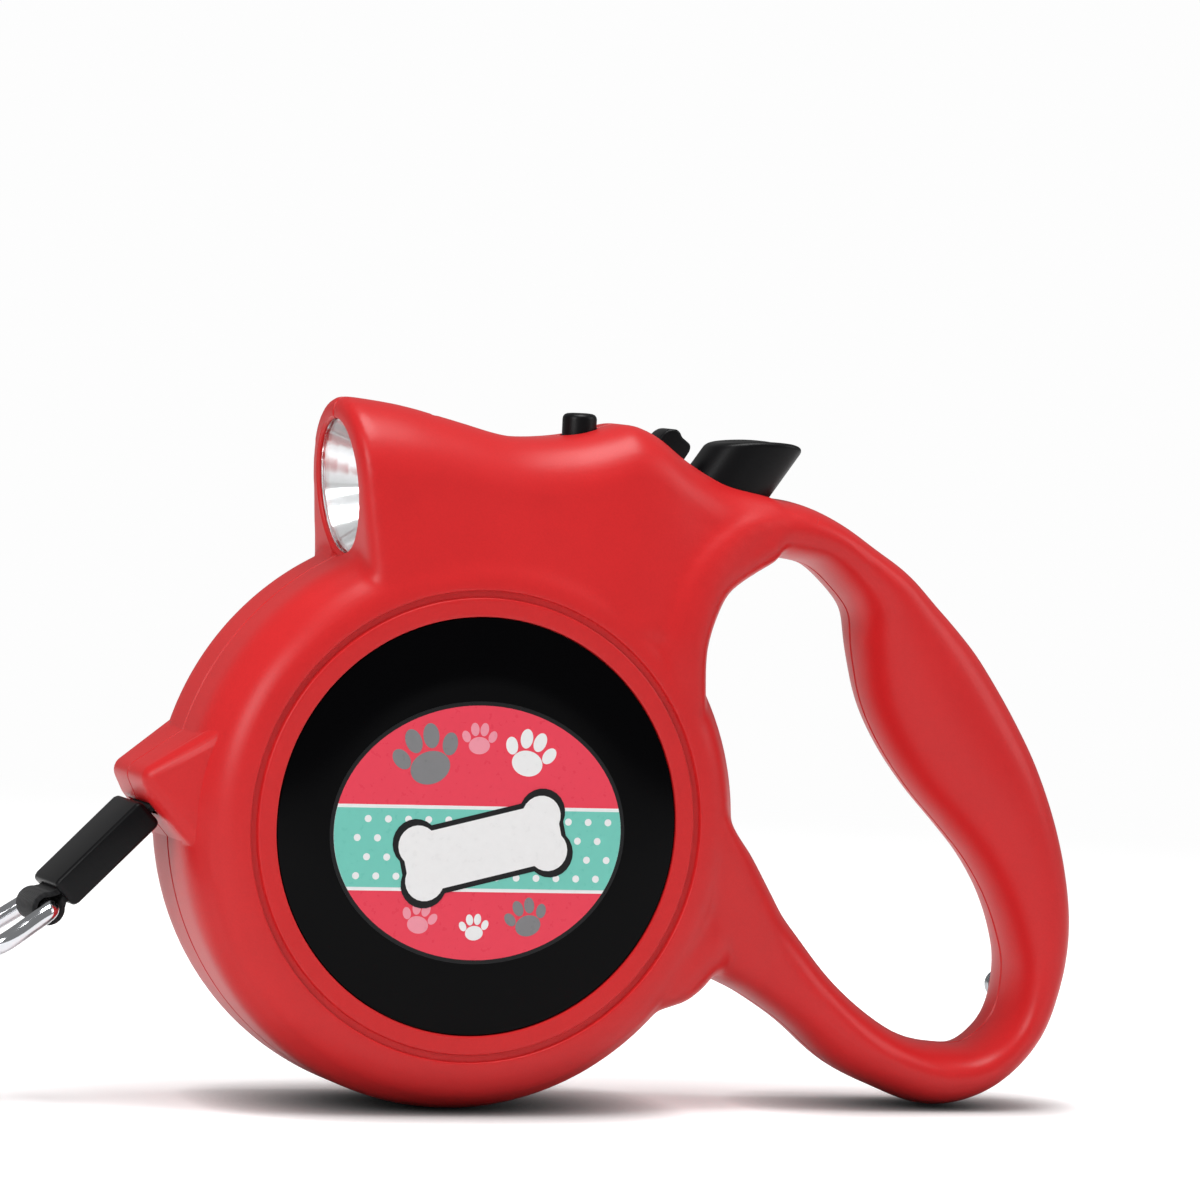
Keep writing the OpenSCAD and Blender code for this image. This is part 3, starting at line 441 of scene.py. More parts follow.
def moulded(name, colour, roughness, grain=0.02, grain_size=0.35, spread=0.1, edge=0.0, coat=0.0,
            gloss_level=0.5):
    """Moulded plastic: a drift and mottle of colour, a fine grain and paler worn edges."""
    material, tree, shader = new_material(name)
    at = node(tree, "ShaderNodeTexCoord").outputs["Object"]
    drift = node(tree, "ShaderNodeTexNoise", {"Vector": at, "Scale": 22.0, "Detail": 3.0})
    mottle = node(tree, "ShaderNodeTexNoise", {"Vector": at, "Scale": 130.0, "Detail": 5.0,
                                               "Roughness": 0.65})
    fine = node(tree, "ShaderNodeTexNoise", {"Vector": at, "Scale": 1000 / grain_size, "Detail": 2.0})
    patches = node(tree, "ShaderNodeMix", {"Factor": 0.5, "A": drift.outputs["Fac"],
                                           "B": mottle.outputs["Fac"]})
    mixed = node(tree, "ShaderNodeMix", {"Factor": 0.35, "A": patches.outputs["Result"],
                                         "B": fine.outputs["Fac"]})
    tint = node(tree, "ShaderNodeMix", {"Factor": mixed.outputs["Result"], "A": shade_of(colour, 1 - spread),
                                        "B": shade_of(colour, 1 + spread)}, data_type="RGBA")
    paint = tint.outputs["Result"]
    if edge:
        bend = node(tree, "ShaderNodeNewGeometry").outputs["Pointiness"]
        worn = node(tree, "ShaderNodeMapRange", {"Value": bend, "From Min": 0.52, "From Max": 0.62,
                                                 "To Min": 0.0, "To Max": edge})
        pale = node(tree, "ShaderNodeMix", {"Factor": worn.outputs["Result"], "A": paint,
                                            "B": shade_of(colour, 4)}, data_type="RGBA")
        paint = pale.outputs["Result"]
    tree.links.new(paint, shader.inputs["Base Color"])
    gloss = node(tree, "ShaderNodeMapRange", {"Value": drift.outputs["Fac"], "To Min": roughness - 0.04,
                                              "To Max": roughness + 0.05})
    tree.links.new(gloss.outputs["Result"], shader.inputs["Roughness"])
    bump = node(tree, "ShaderNodeBump", {"Height": fine.outputs["Fac"], "Strength": 0.5,
                                         "Distance": grain * MM})
    tree.links.new(bump.outputs["Normal"], shader.inputs["Normal"])
    shader.inputs["Specular IOR Level"].default_value = gloss_level
    shader.inputs["Coat Weight"].default_value = coat
    shader.inputs["Coat Roughness"].default_value = 0.08
    return material


def metal(name, colour, roughness, brushed=0.0):
    """Metal with faint wear in its gloss, brushed along one axis where that is asked for."""
    material, tree, shader = new_material(name)
    at = node(tree, "ShaderNodeTexCoord").outputs["Object"]
    stretch = node(tree, "ShaderNodeMapping", {"Vector": at, "Scale": (1.0, 12.0 if brushed else 1.0, 1.0)})
    wear = node(tree, "ShaderNodeTexNoise", {"Vector": stretch.outputs["Vector"], "Scale": 260.0,
                                             "Detail": 4.0})
    tint = node(tree, "ShaderNodeMix", {"Factor": wear.outputs["Fac"], "A": shade_of(colour, 0.93),
                                        "B": shade_of(colour, 1.05)}, data_type="RGBA")
    gloss = node(tree, "ShaderNodeMapRange", {"Value": wear.outputs["Fac"], "To Min": roughness * 0.6,
                                              "To Max": roughness * 1.5})
    bump = node(tree, "ShaderNodeBump", {"Height": wear.outputs["Fac"], "Strength": 0.15,
                                         "Distance": 0.01 * MM})
    tree.links.new(tint.outputs["Result"], shader.inputs["Base Color"])
    tree.links.new(gloss.outputs["Result"], shader.inputs["Roughness"])
    tree.links.new(bump.outputs["Normal"], shader.inputs["Normal"])
    shader.inputs["Metallic"].default_value = 1.0
    return material


def webbing(name, colour):
    """Woven tape: ribs across it, each broken up by its threads."""
    material, tree, shader = new_material(name)
    at = node(tree, "ShaderNodeTexCoord").outputs["Object"]
    lean = node(tree, "ShaderNodeMapping", {"Vector": at, "Rotation": (0, math.radians(-45), 0)})
    ribs = node(tree, "ShaderNodeTexWave", {"Vector": lean.outputs["Vector"], "Scale": 330.0,
                                            "Distortion": 1.2, "Detail": 1.0}, bands_direction="Z")
    threads = node(tree, "ShaderNodeTexWave", {"Vector": at, "Scale": 420.0, "Distortion": 1.0},
                   bands_direction="Y")
    weave = node(tree, "ShaderNodeMix", {"Factor": 0.45, "A": ribs.outputs["Fac"],
                                         "B": threads.outputs["Fac"]})
    tint = node(tree, "ShaderNodeMix", {"Factor": weave.outputs["Result"], "A": shade_of(colour, 0.5),
                                        "B": shade_of(colour, 1.9)}, data_type="RGBA")
    bump = node(tree, "ShaderNodeBump", {"Height": weave.outputs["Result"], "Strength": 0.7,
                                         "Distance": 0.25 * MM})
    tree.links.new(tint.outputs["Result"], shader.inputs["Base Color"])
    tree.links.new(bump.outputs["Normal"], shader.inputs["Normal"])
    shader.inputs["Roughness"].default_value = 0.85
    shader.inputs["Sheen Weight"].default_value = 0.08
    return material


def clear_plastic(name):
    """The lamp's lens."""
    material, tree, shader = new_material(name)
    at = node(tree, "ShaderNodeTexCoord").outputs["Object"]
    haze = node(tree, "ShaderNodeTexNoise", {"Vector": at, "Scale": 90.0, "Detail": 3.0})
    gloss = node(tree, "ShaderNodeMapRange", {"Value": haze.outputs["Fac"], "To Min": 0.01, "To Max": 0.06})
    tree.links.new(gloss.outputs["Result"], shader.inputs["Roughness"])
    shader.inputs["Base Color"].default_value = (0.97, 0.98, 0.99, 1)
    shader.inputs["Transmission Weight"].default_value = 1.0
    shader.inputs["IOR"].default_value = 1.46
    return material


def mirrored_cup(name):
    """The reflector's bright metal film, with soft radial facets round the lamp's axis, its colour darker and
    paler facet by facet as painted reflection.
    """
    material, tree, shader = new_material(name)
    at = node(tree, "ShaderNodeTexCoord").outputs["Object"]
    centred = node(tree, "ShaderNodeMapping",
                   {"Vector": at, "Location": [-v * MM for v in LAMP_AT]})
    parts = node(tree, "ShaderNodeSeparateXYZ", {"Vector": centred.outputs["Vector"]})
    turn = node(tree, "ShaderNodeMath", {0: parts.outputs["Y"], 1: parts.outputs["Z"]}, operation="ARCTAN2")
    waves = node(tree, "ShaderNodeMath", {0: turn.outputs["Value"], 1: 7.0}, operation="MULTIPLY")
    facet = node(tree, "ShaderNodeMath", {0: waves.outputs["Value"]}, operation="SINE")
    bump = node(tree, "ShaderNodeBump", {"Height": facet.outputs["Value"], "Strength": 0.9,
                                         "Distance": 0.35 * MM})
    # Painted reflection: the film's colour runs from dark to pale with each facet, for the dark and bright
    # patches it mirrors.
    tint = node(tree, "ShaderNodeMapRange", {"Value": facet.outputs["Value"], "From Min": -1.0,
                                             "To Min": 0.5, "To Max": 0.95})
    tree.links.new(tint.outputs["Result"], shader.inputs["Base Color"])
    tree.links.new(bump.outputs["Normal"], shader.inputs["Normal"])
    shader.inputs["Metallic"].default_value = 1.0
    shader.inputs["Roughness"].default_value = 0.16
    return material


def printed(name, colour):
    """Ink on the badge, under the badge's own gloss."""
    material, tree, shader = new_material(name)
    at = node(tree, "ShaderNodeTexCoord").outputs["Object"]
    dots = node(tree, "ShaderNodeTexNoise", {"Vector": at, "Scale": 900.0, "Detail": 2.0})
    tint = node(tree, "ShaderNodeMix", {"Factor": dots.outputs["Fac"], "A": shade_of(colour, 0.97),
                                        "B": shade_of(colour, 1.03)}, data_type="RGBA")
    gloss = node(tree, "ShaderNodeMapRange", {"Value": dots.outputs["Fac"], "To Min": 0.24, "To Max": 0.34})
    tree.links.new(tint.outputs["Result"], shader.inputs["Base Color"])
    tree.links.new(gloss.outputs["Result"], shader.inputs["Roughness"])
    shader.inputs["Specular IOR Level"].default_value = 0.25
    return material


# ---------- what a user can change ----------


class LeashSizes(bpy.types.PropertyGroup):
    """How finely the case is made, and how soft its joins are."""

    skin_step: bpy.props.FloatProperty(
        name="Skin step", description="Size of the case's faces", default=0.75 * MM, min=0.4 * MM,
        max=3 * MM, unit="LENGTH")
    softening: bpy.props.IntProperty(
        name="Softening", description="How often the case's skin is smoothed where its forms meet",
        default=14, min=0, max=60)
    seam_width: bpy.props.FloatProperty(
        name="Seam width", description="Width of the line between the two halves of the case",
        default=0.6 * MM, min=0.2 * MM, max=1.5 * MM, unit="LENGTH")
    seam_depth: bpy.props.FloatProperty(
        name="Seam depth", description="Depth of the line between the two halves", default=0.35 * MM,
        min=0.0, max=0.6 * MM, unit="LENGTH")


class LeashColours(bpy.types.PropertyGroup):
    """Colours of the leash's plastics, tape and print."""

    red: bpy.props.FloatVectorProperty(
        name="Case", description="Colour of the case's plastic", subtype="COLOR", size=4,
        default=linear((204, 34, 36)), min=0, max=1)
    black: bpy.props.FloatVectorProperty(
        name="Black plastic", description="Colour of the buttons and the tape's stop", subtype="COLOR",
        size=4, default=linear((7, 7, 9)), min=0, max=1)
    badge: bpy.props.FloatVectorProperty(
        name="Badge", description="Colour of the badge's glossy disc", subtype="COLOR", size=4,
        default=linear((2, 2, 3)), min=0, max=1)
    print_ground: bpy.props.FloatVectorProperty(
        name="Print ground", description="Colour of the print's oval", subtype="COLOR", size=4,
        default=linear((232, 66, 86)), min=0, max=1)
    print_band: bpy.props.FloatVectorProperty(
        name="Print band", description="Colour of the print's band", subtype="COLOR", size=4,
        default=linear((115, 200, 185)), min=0, max=1)


materials = {}
pieces = {}
marks = {}


def make_materials(colours):
    """All the finishes, by the names of the record's slots and of the print's inks."""
    materials.update({
        "red_plastic": moulded("red plastic", colours.red[:], 0.36, grain=0.03, spread=0.2, gloss_level=0.32),
        "black_plastic": moulded("black plastic", colours.black[:], 0.36, grain=0.03, edge=0.6,
                                 gloss_level=0.2),
        "badge_black": moulded("badge plastic", colours.badge[:], 0.12, grain=0.002, gloss_level=0.07),
        "pale_plastic": moulded("pale plastic", linear((222, 219, 210)), 0.45),
        "webbing": webbing("woven tape", linear((13, 13, 15))),
        "steel": metal("steel", linear((178, 181, 186)), 0.24, brushed=1.0),
        "spring_steel": metal("spring steel", linear((120, 122, 128)), 0.3, brushed=1.0),
        "chrome": metal("chrome", linear((222, 224, 228)), 0.09),
        "brass": metal("brass", linear((212, 176, 96)), 0.25),
        "lens": clear_plastic("lens plastic"),
        "led": moulded("lamp chip", linear((240, 232, 170)), 0.25, coat=0.5),
        "board": moulded("circuit board", linear((24, 92, 52)), 0.4),
        "wire": moulded("wire cover", linear((178, 26, 24)), 0.45),
        "reflector": mirrored_cup("reflector film"),
        "ground": printed("ink ground", colours.print_ground[:]),
        "band": printed("ink band", colours.print_band[:]),
        "grey": printed("ink grey", linear((128, 128, 130))),
        "white": printed("ink white", linear((236, 236, 236))),
        "dark": printed("ink black", linear((18, 18, 20))),
        "pink": printed("ink pink", linear((238, 150, 165))),
    })


# ---------- camera ----------

AIM = (27.0, 0.0, 88.0)
DISTANCE = 1200.0
AZIMUTH = -19.7
ELEVATION = 2.7
ROLL = 2.65
LENS = 206.64
SENSOR = 36.0


def camera_axes():
    """The camera's right, up and back directions."""
    a, e, roll = (math.radians(v) for v in (AZIMUTH, ELEVATION, ROLL))
    back = Vector((math.sin(a) * math.cos(e), -math.cos(a) * math.cos(e), math.sin(e)))
    right = (-back).cross(Vector((0, 0, 1))).normalized()
    up = right.cross(-back)
    return (math.cos(roll) * right + math.sin(roll) * up, -math.sin(roll) * right + math.cos(roll) * up, back)


def camera_place():
    """Where the camera stands."""
    return (Vector(AIM) + camera_axes()[2] * DISTANCE) * MM


def shown_at(point):
    """Where a point shows, in the photograph's pixels."""
    right, up, back = camera_axes()
    away = point - camera_place()
    scale = FRAME_W * LENS / SENSOR / -away.dot(back)
    return Vector((FRAME_W / 2 + scale * away.dot(right), FRAME_H / 2 - scale * away.dot(up)))


def surface_tree(piece):
    """The faces of a finished piece, to be met by a ray."""
    mesh = piece.data
    return BVHTree.FromPolygons([v.co for v in mesh.vertices], [p.vertices for p in mesh.polygons])


def on_surface(tree, point_name):
    """Where the ray through an image point meets a piece: the place and the surface's normal."""
    x, y = POINTS[point_name]
    right, up, back = camera_axes()
    start = camera_place()
    ray = ((x - FRAME_W / 2) * right + (FRAME_H / 2 - y) * up - FRAME_W * LENS / SENSOR * back).normalized()
    place, normal, _, _ = tree.ray_cast(start, ray)
    if place is None:
        tries = [tree.find_nearest(start + ray * d) for d in (1.1 + 0.002 * k for k in range(100))]
        place, normal, _, _ = min(tries, key=lambda found: found[3])
    return place, normal


# ---------- case ----------

OVAL_SIDES = 48


def bulge(c, square):
    """One coordinate of an oval that can be nearly square."""
    return math.copysign(abs(c) ** (2 / square), c)


def oval_form(name, table, inset, closed):
    """A skin over ovals that follow a curve in the X-Z plane."""
    rows = smooth_rows(table, 4, closed)
    count = len(rows)
    rings = []
    for i, (x, z, depth, width, outside, inside) in enumerate(rows):
        before = rows[(i - 1) % count] if closed else rows[max(i - 1, 0)]
        after = rows[(i + 1) % count] if closed else rows[min(i + 1, count - 1)]
        along = Vector((after[0] - before[0], after[1] - before[1])).normalized()
        ring = []
        for k in range(OVAL_SIDES):
            turn = 2 * math.pi * (k + 0.5) / OVAL_SIDES
            square = outside if math.cos(turn) > 0 else inside
            out = (depth - inset) * bulge(math.cos(turn), square)
            ring.append(Vector((x - along.y * out, (width - inset) * bulge(math.sin(turn), square),
                                z + along.x * out)) * MM)
        rings.append(ring)
    return loft(name, rings, closed)


def drum_form(name, inset, half):
    """The round body: flat faces, rounded corners and a slightly crowned rim."""
    edge = CORNER_R - inset
    rows = []
    for a in range(-90, -15, 10):
        rows.append([FACE_R + (edge - CORNER_FLAT) * math.cos(math.radians(a)),
                     edge * (math.sin(math.radians(a)) + 1) - half])
    reach = -rows[-1][1] - BAND_HALF
    for k in (0.75, 0.5, 0.25, 0.0):
        rows.append([RIM_R - inset - RIM_CROWN * k * k, -BAND_HALF - reach * k])
    rows += [[r, -along] for r, along in reversed(rows)]
    return turned(name, rows, ON_DRUM, sides=160)


def ridge_form(name, inset):
    """The ridge from the lamp to the thumb brake, whose front slice leans with the lamp."""
    rings = []
    rows = smooth_rows(RIDGE, 4)
    rounds = [(FRONT_R * (1 - math.cos(math.radians(a))), FRONT_R * (1 - math.sin(math.radians(a))))
              for a in (0, 20, 40, 60, 80)]
    slices = [(rows[0], shift, drop) for shift, drop in rounds] + [(row, 0, 0) for row in rows[2:]]
    for i, ((x, top, base, half, top_r, base_half), forward, drop) in enumerate(slices):
        corners = [(half - top_r, top - top_r, top_r, 4), (top_r - half, top - top_r, top_r, 94),
                   (RIDGE_BASE_R - base_half, base + RIDGE_BASE_R, RIDGE_BASE_R, 184),
                   (base_half - RIDGE_BASE_R, base + RIDGE_BASE_R, RIDGE_BASE_R, 274)]
        lean = math.tan(math.radians(LAMP_TILT)) if i < len(rounds) else 0
        shift = forward + (inset if i < len(rounds) else 0)
        ring = []
        for cy, cz, r, start in corners:
            for k in range(11):
                turn = math.radians(start + k * 8.2)
                y = cy + (r - inset - drop) * math.cos(turn)
                z = cz + (r - inset - drop) * math.sin(turn)
                ring.append(Vector((x + shift - lean * (z - LAMP_AT[2]), -y, z)) * MM)
        rings.append(ring)
    return loft(name, rings)


def nozzle_form():
    """The tape's mouth: a block with soft corners, wrapped round balls at its corners."""
    deselect()
    place = on_tape(0)
    balls = []
    for across, half, along in NOZZLE:
        for side in (-1, 1):
            bpy.ops.mesh.primitive_uv_sphere_add(
                segments=20, ring_count=12, radius=NOZZLE_R * MM,
                location=place @ (Vector((across, side * half, along)) * MM))
            balls.append(bpy.context.active_object)
    mouth = join("nozzle", balls)
    bpy.ops.object.transform_apply(location=True, rotation=True, scale=True)
    bpy.ops.object.mode_set(mode="EDIT")
    bpy.ops.mesh.select_all(action="SELECT")
    bpy.ops.mesh.convex_hull()
    bpy.ops.object.mode_set(mode="OBJECT")
    return mouth


def blended(name, forms, step, softening):
    """Wraps forms that cross in one even skin, and softens the corners where they meet."""
    whole = join(name, forms)
    bpy.ops.object.transform_apply(location=True, rotation=True, scale=True)
    apply_modifier(whole, "REMESH", mode="VOXEL", voxel_size=step)
    if softening:
        apply_modifier(whole, "SMOOTH", factor=0.5, iterations=softening)
    return whole


def screw_places():
    """Each case screw's frame, looking along Y from the case's middle, and the half width there."""
    upright = Matrix.Rotation(math.radians(-90), 4, "X")
    for x, z, half in SCREWS:
        yield Matrix.Translation(Vector((x, 0, z)) * MM) @ upright, half


def case_room(step):
    """The room inside the case, less the seats and bosses that stand in it."""
    room = blended("room", [drum_form("room drum", WALL, INNER_HALF), ridge_form("room ridge", WALL),
                            oval_form("room loop", LOOP, WALL, True),
                            oval_form("room fillet", FILLET, WALL, False)], 2 * step, 2)
    combine(room, turned("lamp seat", [[LAMP_R + 2.8, SEAT_BACK], [LAMP_R + 2.8, 4]], ON_LAMP))
    for at, half in screw_places():
        combine(room, turned("boss", [[2.9, -half], [2.9, half]], at, 24))
    for low, high in ((9.9, 30), (-30, -9.9)):
        combine(room, turned("axle boss", [[7, low], [7, high]], ON_DRUM, 40))
    return room


def case_cutters():
    """Everything that is cut from the closed case, in turn."""
    for side in (-1, 1):
        face = side * CASE_HALF
        depth = BADGE_T + BADGE_RECESS
        yield turned("badge seat", [[BADGE_R + 0.1, face - side * depth], [BADGE_R + 0.1, face - side * 0.25],
                                    [BADGE_R + 0.18, face - side * 0.08], [BADGE_R + 0.4, face],
                                    [BADGE_R + 0.4, face + side * depth]], ON_DRUM, 160)
        yield ring_groove(side)
    yield turned("lamp mouth", [[7.8, SEAT_BACK - 1], [7.8, -14.3], [9.2, -14.25],
                                [LAMP_R + 0.4, LENS_BACK - 1.5],
                                [LAMP_R + 0.4, LENS_BACK + LENS_T + 0.1], [LAMP_R, LENS_BACK + LENS_T + 0.12],
                                [LAMP_R, -0.35], [LAMP_R + 0.12, -0.1], [LAMP_R + 0.5, 0.15],
                                [LAMP_R + 0.5, 8]], ON_LAMP, 96)
    yield block("tape slot", (-1.3, -TAPE_W / 2 - 0.7, 0), (1.3, TAPE_W / 2 + 0.7, 30), on_tape(20))
    yield loft("brake well", [button_ring(-MOVE_GAP, lambda x: z) for z in (-9, 21)])
    yield block("lock well", (-7.2, -LOCK_HALF_W - MOVE_GAP, -5), (3.4, LOCK_HALF_W + MOVE_GAP, 9), ON_LOCK)
    hole_r = SWITCH_R + MOVE_GAP
    yield turned("switch hole", [[hole_r, SWITCH_TOP - 12], [hole_r, SWITCH_TOP + 9]],
                 Matrix.Translation((SWITCH_X * MM, 0, 0)), 48)
    yield block("door gap", (door_low[0] / MM - MOVE_GAP, 10.7, door_low[2] / MM - MOVE_GAP),
                (door_high[0] / MM + MOVE_GAP, 31, door_high[2] / MM + MOVE_GAP))
    for at, half in screw_places():
        yield turned("screw hole", [[1.35, -half + 4], [1.35, half - 3.01], [SCREW_HEAD_R, half - 3],
                                    [SCREW_HEAD_R, half + 9]], at, 32)


def button_ring(inset, height):
    """A ring of the thumb brake's rounded plan, its height a function of the place along it."""
    ring = []
    for k in range(BUTTON_SIDES):
        turn = 2 * math.pi * (k + 0.5) / BUTTON_SIDES
        x = (BUTTON_LEN / 2 - inset) * bulge(math.cos(turn), BUTTON_SQUARE)
        y = (BUTTON_W / 2 - inset) * bulge(math.sin(turn), BUTTON_SQUARE)
        ring.append(ON_BRAKE @ (Vector((x, y, height(x))) * MM))
    return ring


def ring_groove(side):
    """The groove round the badge, with soft lips, as a ring to be cut."""
    half = GROOVE_W / 2
    inner = [(-half - 0.3, 0.3), (-half - 0.3, 0.0), (-half - 0.1, -0.06), (-half, -0.2),
             (-half + 0.12, -0.8)]
    profile = inner + [(-r, up) for r, up in reversed(inner)]
    rings = []
    for k in range(160):
        a = math.radians(k * 360 / 160)
        rings.append([ON_DRUM @ (Vector(((GROOVE_R + r) * math.cos(a), (GROOVE_R + r) * math.sin(a),
                                         side * (CASE_HALF + up))) * MM) for r, up in profile])
    return loft("groove", rings, True)


def seam_line(whole, width):
    """Adds a line of edges on each side of the case's middle, for the seam."""
    pick(whole)
    bpy.ops.object.mode_set(mode="EDIT")
    for y in (-width / 2, width / 2):
        bpy.ops.mesh.select_all(action="SELECT")
        bpy.ops.mesh.bisect(plane_co=(0, y, 0), plane_no=(0, 1, 0))
    bpy.ops.object.mode_set(mode="OBJECT")


def half_case(whole, side, depth):
    """One half of the case, its parting edge turned in a little."""
    pick(whole)
    bpy.ops.object.duplicate()
    half = named("left_case" if side < 0 else "right_case")
    reach = 400
    low = (-reach, 0.04 if side > 0 else -reach, -reach)
    high = (reach, reach if side > 0 else -0.04, reach)
    combine(half, block("keep", low, high), "INTERSECT")
    pick(half)
    bpy.ops.object.mode_set(mode="EDIT")
    bpy.ops.mesh.select_all(action="SELECT")
    bpy.ops.mesh.quads_convert_to_tris()
    form = bmesh.from_edit_mesh(half.data)
    form.normal_update()
    moves = []
    for vertex in form.verts:
        if abs(vertex.co.y - side * 0.04 * MM) > 1e-7:
            continue
        walls = [f.normal for f in vertex.link_faces if abs(f.normal.y) < 0.9]
        if walls:
            out = sum(walls, Vector())
            out.y = 0
            if out.length > 1e-6:
                moves.append((vertex, out.normalized() * depth))
    for vertex, move in moves:
        vertex.co -= move
    bmesh.update_edit_mesh(half.data)
    bpy.ops.object.mode_set(mode="OBJECT")
    return half


class LEASH_OT_case(bpy.types.Operator):
    """Make the two halves of the case."""

    bl_idname = "leash.case"
    bl_label = "Case"

    def execute(self, context):
        sizes = context.scene.leash_sizes
        whole = blended("case", [drum_form("drum", 0, CASE_HALF), ridge_form("ridge", 0),
                                 oval_form("loop", LOOP, 0, True), oval_form("fillet", FILLET, 0, False)],
                        sizes.skin_step, sizes.softening)
        combine(whole, nozzle_form(), "UNION")
        skin = surface_tree(whole)
        for name, size in (("handle_notch", (0.35, 1.6, 0.3)), ("ridge_step", (1.8, 9.0, 0.35))):
            place, normal = on_surface(skin, name)
            across = Vector((0, 1, 0)) if name == "ridge_step" else Vector((0.35, 0, 1))
            along = across.cross(normal).normalized()
            turn = Matrix((along, normal.cross(along).normalized(), normal)).transposed().to_4x4()
            corner = Vector(size) / 2
            combine(whole, block(name, -corner, corner, Matrix.Translation(place) @ turn, 0.1))
            marks[name] = place
        combine(whole, case_room(sizes.skin_step))
        for cutter in case_cutters():
            combine(whole, cutter)
        seam_line(whole, sizes.seam_width)
        for side, node_name in ((-1, "left_shell"), (1, "right_shell")):
            half = half_case(whole, side, sizes.seam_depth)
            pieces[node_name] = finish_piece(half, "case", materials["red_plastic"], [node_name], 40)
        bpy.data.objects.remove(whole, do_unlink=True)
        return {"FINISHED"}


# ---------- badge and its print ----------


def flat_mark(name, outline, centre, side, height, thick=0.05):
    """A thin inked shape on a badge, from points round its own centre, right way up on both sides."""
    face = CASE_HALF - BADGE_RECESS + height
    points = [(-side * (x + centre[0]), z + centre[1]) for x, z in outline]
    place = Matrix.Translation((0, side * (face + thick / 2) * MM, AXIS_Z * MM))
    return cut_out(name, points, thick, place)


def oval(rx, rz, tilt=0.0, sides=48):
    """Points round an oval."""
    c, s = math.cos(math.radians(tilt)), math.sin(math.radians(tilt))
    return [(rx * math.cos(a) * c - rz * math.sin(a) * s, rx * math.cos(a) * s + rz * math.sin(a) * c)
            for a in [2 * math.pi * k / sides for k in range(sides)]]


def bone(long, thick, tilt):
    """Points round a plain bone: a bar with two knobs at each end."""
    half = []
    for cx, cz, start, stop in ((long, thick, -35, 145), (-long, thick, 35, 215)):
        for k in range(13):
            a = math.radians(start + (stop - start) * k / 12)
            half.append((cx + thick * 1.15 * math.cos(a), cz + thick * 1.15 * math.sin(a)))
    points = half + [(-x, -z) for x, z in half]
    c, s = math.cos(math.radians(tilt)), math.sin(math.radians(tilt))
    return [(x * c - z * s, x * s + z * c) for x, z in points]


def paw(name, centre, size, tilt, side, height):
    """A paw print: one pad and four toes."""
    c, s = math.cos(math.radians(tilt)), math.sin(math.radians(tilt))
    parts = [("pad", (0, -0.35), 1.0, 0.78, 0), ("toe", (-1.25, 0.45), 0.38, 0.55, 25),
             ("toe", (-0.45, 1.1), 0.4, 0.6, 8), ("toe", (0.45, 1.1), 0.4, 0.6, -8),
             ("toe", (1.25, 0.45), 0.38, 0.55, -25)]
    made = []
    for part, (x, z), rx, rz, lean in parts:
        at = (centre[0] + size * (x * c - z * s), centre[1] + size * (x * s + z * c))
        pad = oval(rx * size, rz * size, lean + tilt, 32)
        made.append(flat_mark(f"{name}_{part}", pad, at, side, height))
    return join(name, made)


PRINT_RX = 26.5
PRINT_RZ = 22.5
BAND_LOW = -9.5
BAND_HIGH = 4.0


def band_outline(rx, rz, low, high, steps=20):
    """Points round the part of an oval between two heights."""
    right = [(rx * math.sqrt(1 - (z / rz) ** 2), z) for z in
             [low + (high - low) * k / steps for k in range(steps + 1)]]
    return right + [(-x, z) for x, z in reversed(right)]


def badge_print(side, centre):
    """The print: an oval ground, a dotted band, a bone and paw marks, as inked layers."""
    tag = "left" if side < 0 else "right"
    cx, cz = centre
    layers = [
        (flat_mark(f"{tag}_print_line", oval(PRINT_RX, PRINT_RZ, sides=96), centre, side, 0.0), "dark"),
        (flat_mark(f"{tag}_print_ground", oval(PRINT_RX - 0.7, PRINT_RZ - 0.7, sides=96), centre, side,
                   0.03), "ground"),
        (flat_mark(f"{tag}_band_line", band_outline(PRINT_RX - 0.7, PRINT_RZ - 0.7, BAND_LOW - 0.6,
                                                    BAND_HIGH + 0.6), centre, side, 0.05), "white"),
        (flat_mark(f"{tag}_band", band_outline(PRINT_RX - 0.72, PRINT_RZ - 0.72, BAND_LOW, BAND_HIGH),
                   centre, side, 0.07), "band"),
    ]
    dots = []
    for row in range(4):
        for k in range(-6, 7):
            x, z = cx + k * 3.6 + (1.8 if row % 2 else 0), cz + BAND_LOW + 1.9 + row * 3.25
            if ((x - cx) / (PRINT_RX - 2)) ** 2 + ((z - cz) / (PRINT_RZ - 2)) ** 2 < 1:
                dots.append(flat_mark(f"dot_{row}_{k}", oval(0.62, 0.62, sides=16), (x, z), side, 0.09))
    layers.append((join(f"{tag}_dots", dots), "white"))
    bone_at = (cx + 1, cz - 2.6)
    layers.append((flat_mark(f"{tag}_bone_line", bone(11.6, 3.6, 14), bone_at, side, 0.11), "dark"))
    layers.append((flat_mark(f"{tag}_bone", bone(11.3, 3.05, 14), bone_at, side, 0.13), "white"))
    for number, (x, z, size, tilt, ink) in enumerate((
            (-9.5, 12.2, 3.6, 18, "grey"), (8.5, 13.0, 2.8, -14, "white"), (-0.5, 15.6, 1.9, 0, "pink"),
            (-10, -15.2, 1.9, -12, "pink"), (9.5, -15.0, 2.3, 16, "grey"), (0, -16.6, 1.6, 4, "white"))):
        layers.append((paw(f"{tag}_paw_{number}", (cx + x, cz + z), size, tilt, side, 0.05), ink))
    return layers


